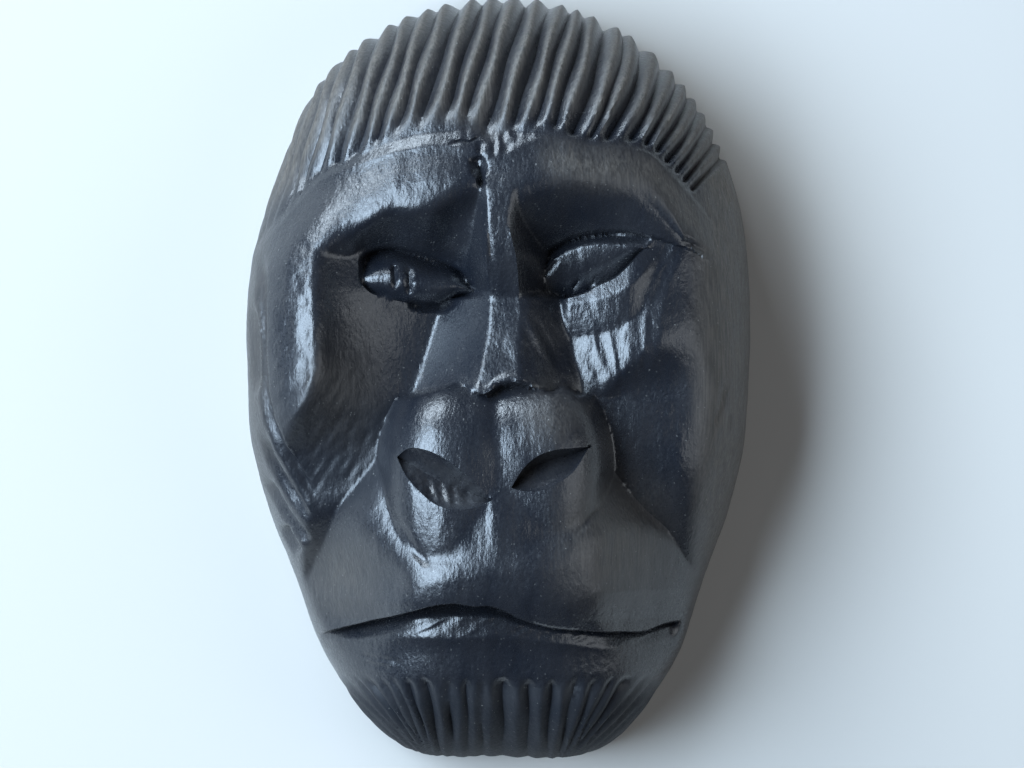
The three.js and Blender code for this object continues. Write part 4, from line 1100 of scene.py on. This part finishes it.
def ramp(tree, value, *stops):
    """Colors or grays over a value, given as pairs of a place from 0 to 1 and a color."""
    node = add(tree, "ShaderNodeValToRGB")
    points = node.color_ramp.elements
    while len(points) < len(stops):
        points.new(1)
    for point, (place, color) in zip(points, stops):
        point.position = place
        point.color = (*color, 1) if isinstance(color, tuple) else (color, color, color, 1)
    tree.links.new(value, node.inputs["Fac"])
    return node.outputs["Color"]


def bumped(tree, height, distance, below=None):
    """Fine relief of a height in millimetres, over another one if that is given."""
    node = add(tree, "ShaderNodeBump", Strength=1, Distance=distance * MM)
    tree.links.new(height, node.inputs["Height"])
    if below:
        tree.links.new(below, node.inputs["Normal"])
    return node.outputs["Normal"]


def mixed(tree, share, first, second):
    """Color between two sockets."""
    node = add(tree, "ShaderNodeMix", data_type="RGBA")
    tree.links.new(share, node.inputs["Factor"])
    for value, socket in zip((first, second), COLOR_SOCKETS):
        tree.links.new(value, node.inputs[socket])
    return node.outputs[COLOR_RESULT]


def times(tree, first, second):
    node = add(tree, "ShaderNodeMath", operation="MULTIPLY")
    tree.links.new(first, node.inputs[0])
    tree.links.new(second, node.inputs[1])
    return node.outputs["Value"]


def wood_color(tree, grain, dull_and_painted_sheen):
    """Black stain, dust along the grain where the wood is dull, the same colour as a painted
    sheen on the left cheek, and small pale flecks.
    """
    stain = texture(tree, (4, 9, 4), 3)
    black = ramp(tree, stain, (0.3, STAIN[0]), (0.7, STAIN[1]))
    dust_and_painted_sheen = ramp(tree, grain, (0.35, DUST_AND_PAINTED_SHEEN[0]), (0.65, DUST_AND_PAINTED_SHEEN[1]))
    pale = ramp(tree, stain, (0, PALE[0]), (1, PALE[1]))
    flecks = ramp(tree, texture(tree, (0.28, 0.35, 0.28), 0), (0.81, 0.0), (0.86, 0.4))
    return mixed(tree, flecks, mixed(tree, dull_and_painted_sheen, black, dust_and_painted_sheen), pale)


def wood_roughness(tree, shine, dull_and_painted_sheen):
    speckle = texture(tree, (0.35, 0.5, 0.35), 3, 0.7)
    polished = ramp(tree, speckle, (0.3, POLISHED[0]), (0.7, POLISHED[1]))
    matte = ramp(tree, speckle, (0.3, MATTE[0]), (0.7, MATTE[1]))
    return mixed(tree, shine, matte, mixed(tree, dull_and_painted_sheen, polished, matte))


def stained_wood():
    material, tree, shader = new_material("stained_wood")
    grain = texture(tree, (0.3, 5, 0.3), 3)
    uneven = texture(tree, (0.7, 1.1, 0.7), 3, 0.6)
    wear = ramp(tree, texture(tree, (1.6, 3, 1.6), 4, 0.6), (0.25, 0.55), (0.6, 1.0))
    shine = attribute(tree, "shine")
    # dull wood, and on the left cheek a painted sheen, both shown in the dust colour
    dull_and_painted_sheen = times(tree, attribute(tree, "dull_and_painted_sheen"), wear)
    sockets = {
        "Base Color": wood_color(tree, grain, dull_and_painted_sheen),
        "Roughness": wood_roughness(tree, shine, dull_and_painted_sheen),
        "Specular IOR Level": ramp(tree, shine, (0, SPECULAR[0]), (1, SPECULAR[1])),
        "Normal": bumped(tree, grain, 0.025, below=bumped(tree, uneven, 0.1)),
    }
    for name, value in sockets.items():
        tree.links.new(value, shader.inputs[name])
    return material


def table_surface():
    material, _, shader = new_material("pale_table")
    shader.inputs["Base Color"].default_value = TABLE_COLOR
    shader.inputs["Roughness"].default_value = TABLE_ROUGHNESS
    return material


# Scene

def table():
    bpy.ops.mesh.primitive_plane_add(size=TABLE_SIZE, location=(0, 0, 0))
    floor = bpy.context.object
    floor.name = "table"
    floor.data.materials.append(table_surface())
    return floor


def area_light(name, place, size, power, color):
    light = bpy.data.lights.new(name, "AREA")
    light.shape = "RECTANGLE"
    light.size, light.size_y = size
    light.energy = power
    light.color = color
    lamp = bpy.data.objects.new(name, light)
    lamp.location = place
    aim = Vector(LIT_PLACE) - Vector(place)
    lamp.rotation_euler = aim.to_track_quat("-Z", "Y").to_euler()
    bpy.context.collection.objects.link(lamp)


def lights():
    """A window at the left, a faint fill light at the right and a strip over the hair."""
    area_light("window", (-0.54, 0.08, 0.62), (0.78, 0.5), 17, (0.62, 0.80, 1.0))
    area_light("bounce", (0.7, -0.1, 0.5), (0.5, 0.8), 1.8, (0.88, 0.94, 1.0))
    area_light("ceiling", (-0.42, 0.7, 0.34), (0.5, 0.28), 6.5, (0.72, 0.86, 1.0))
    world = bpy.data.worlds.new("room")
    bpy.context.scene.world = world
    world.use_nodes = True
    background = world.node_tree.nodes["Background"]
    background.inputs["Color"].default_value = ROOM_COLOR
    background.inputs["Strength"].default_value = ROOM_STRENGTH


def camera():
    lens = bpy.data.cameras.new("camera")
    lens.lens = LENS
    lens.sensor_width = SENSOR
    eye = bpy.data.objects.new("camera", lens)
    eye.location = [value * MM for value in CAMERA_AT]
    bpy.context.collection.objects.link(eye)
    bpy.context.scene.camera = eye


mask = carved_mask()
mask.data.materials.append(stained_wood())
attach(mask, "root")
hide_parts("gorilla_mask")
table()
lights()
camera()
bpy.context.scene.view_settings.view_transform = "Standard"
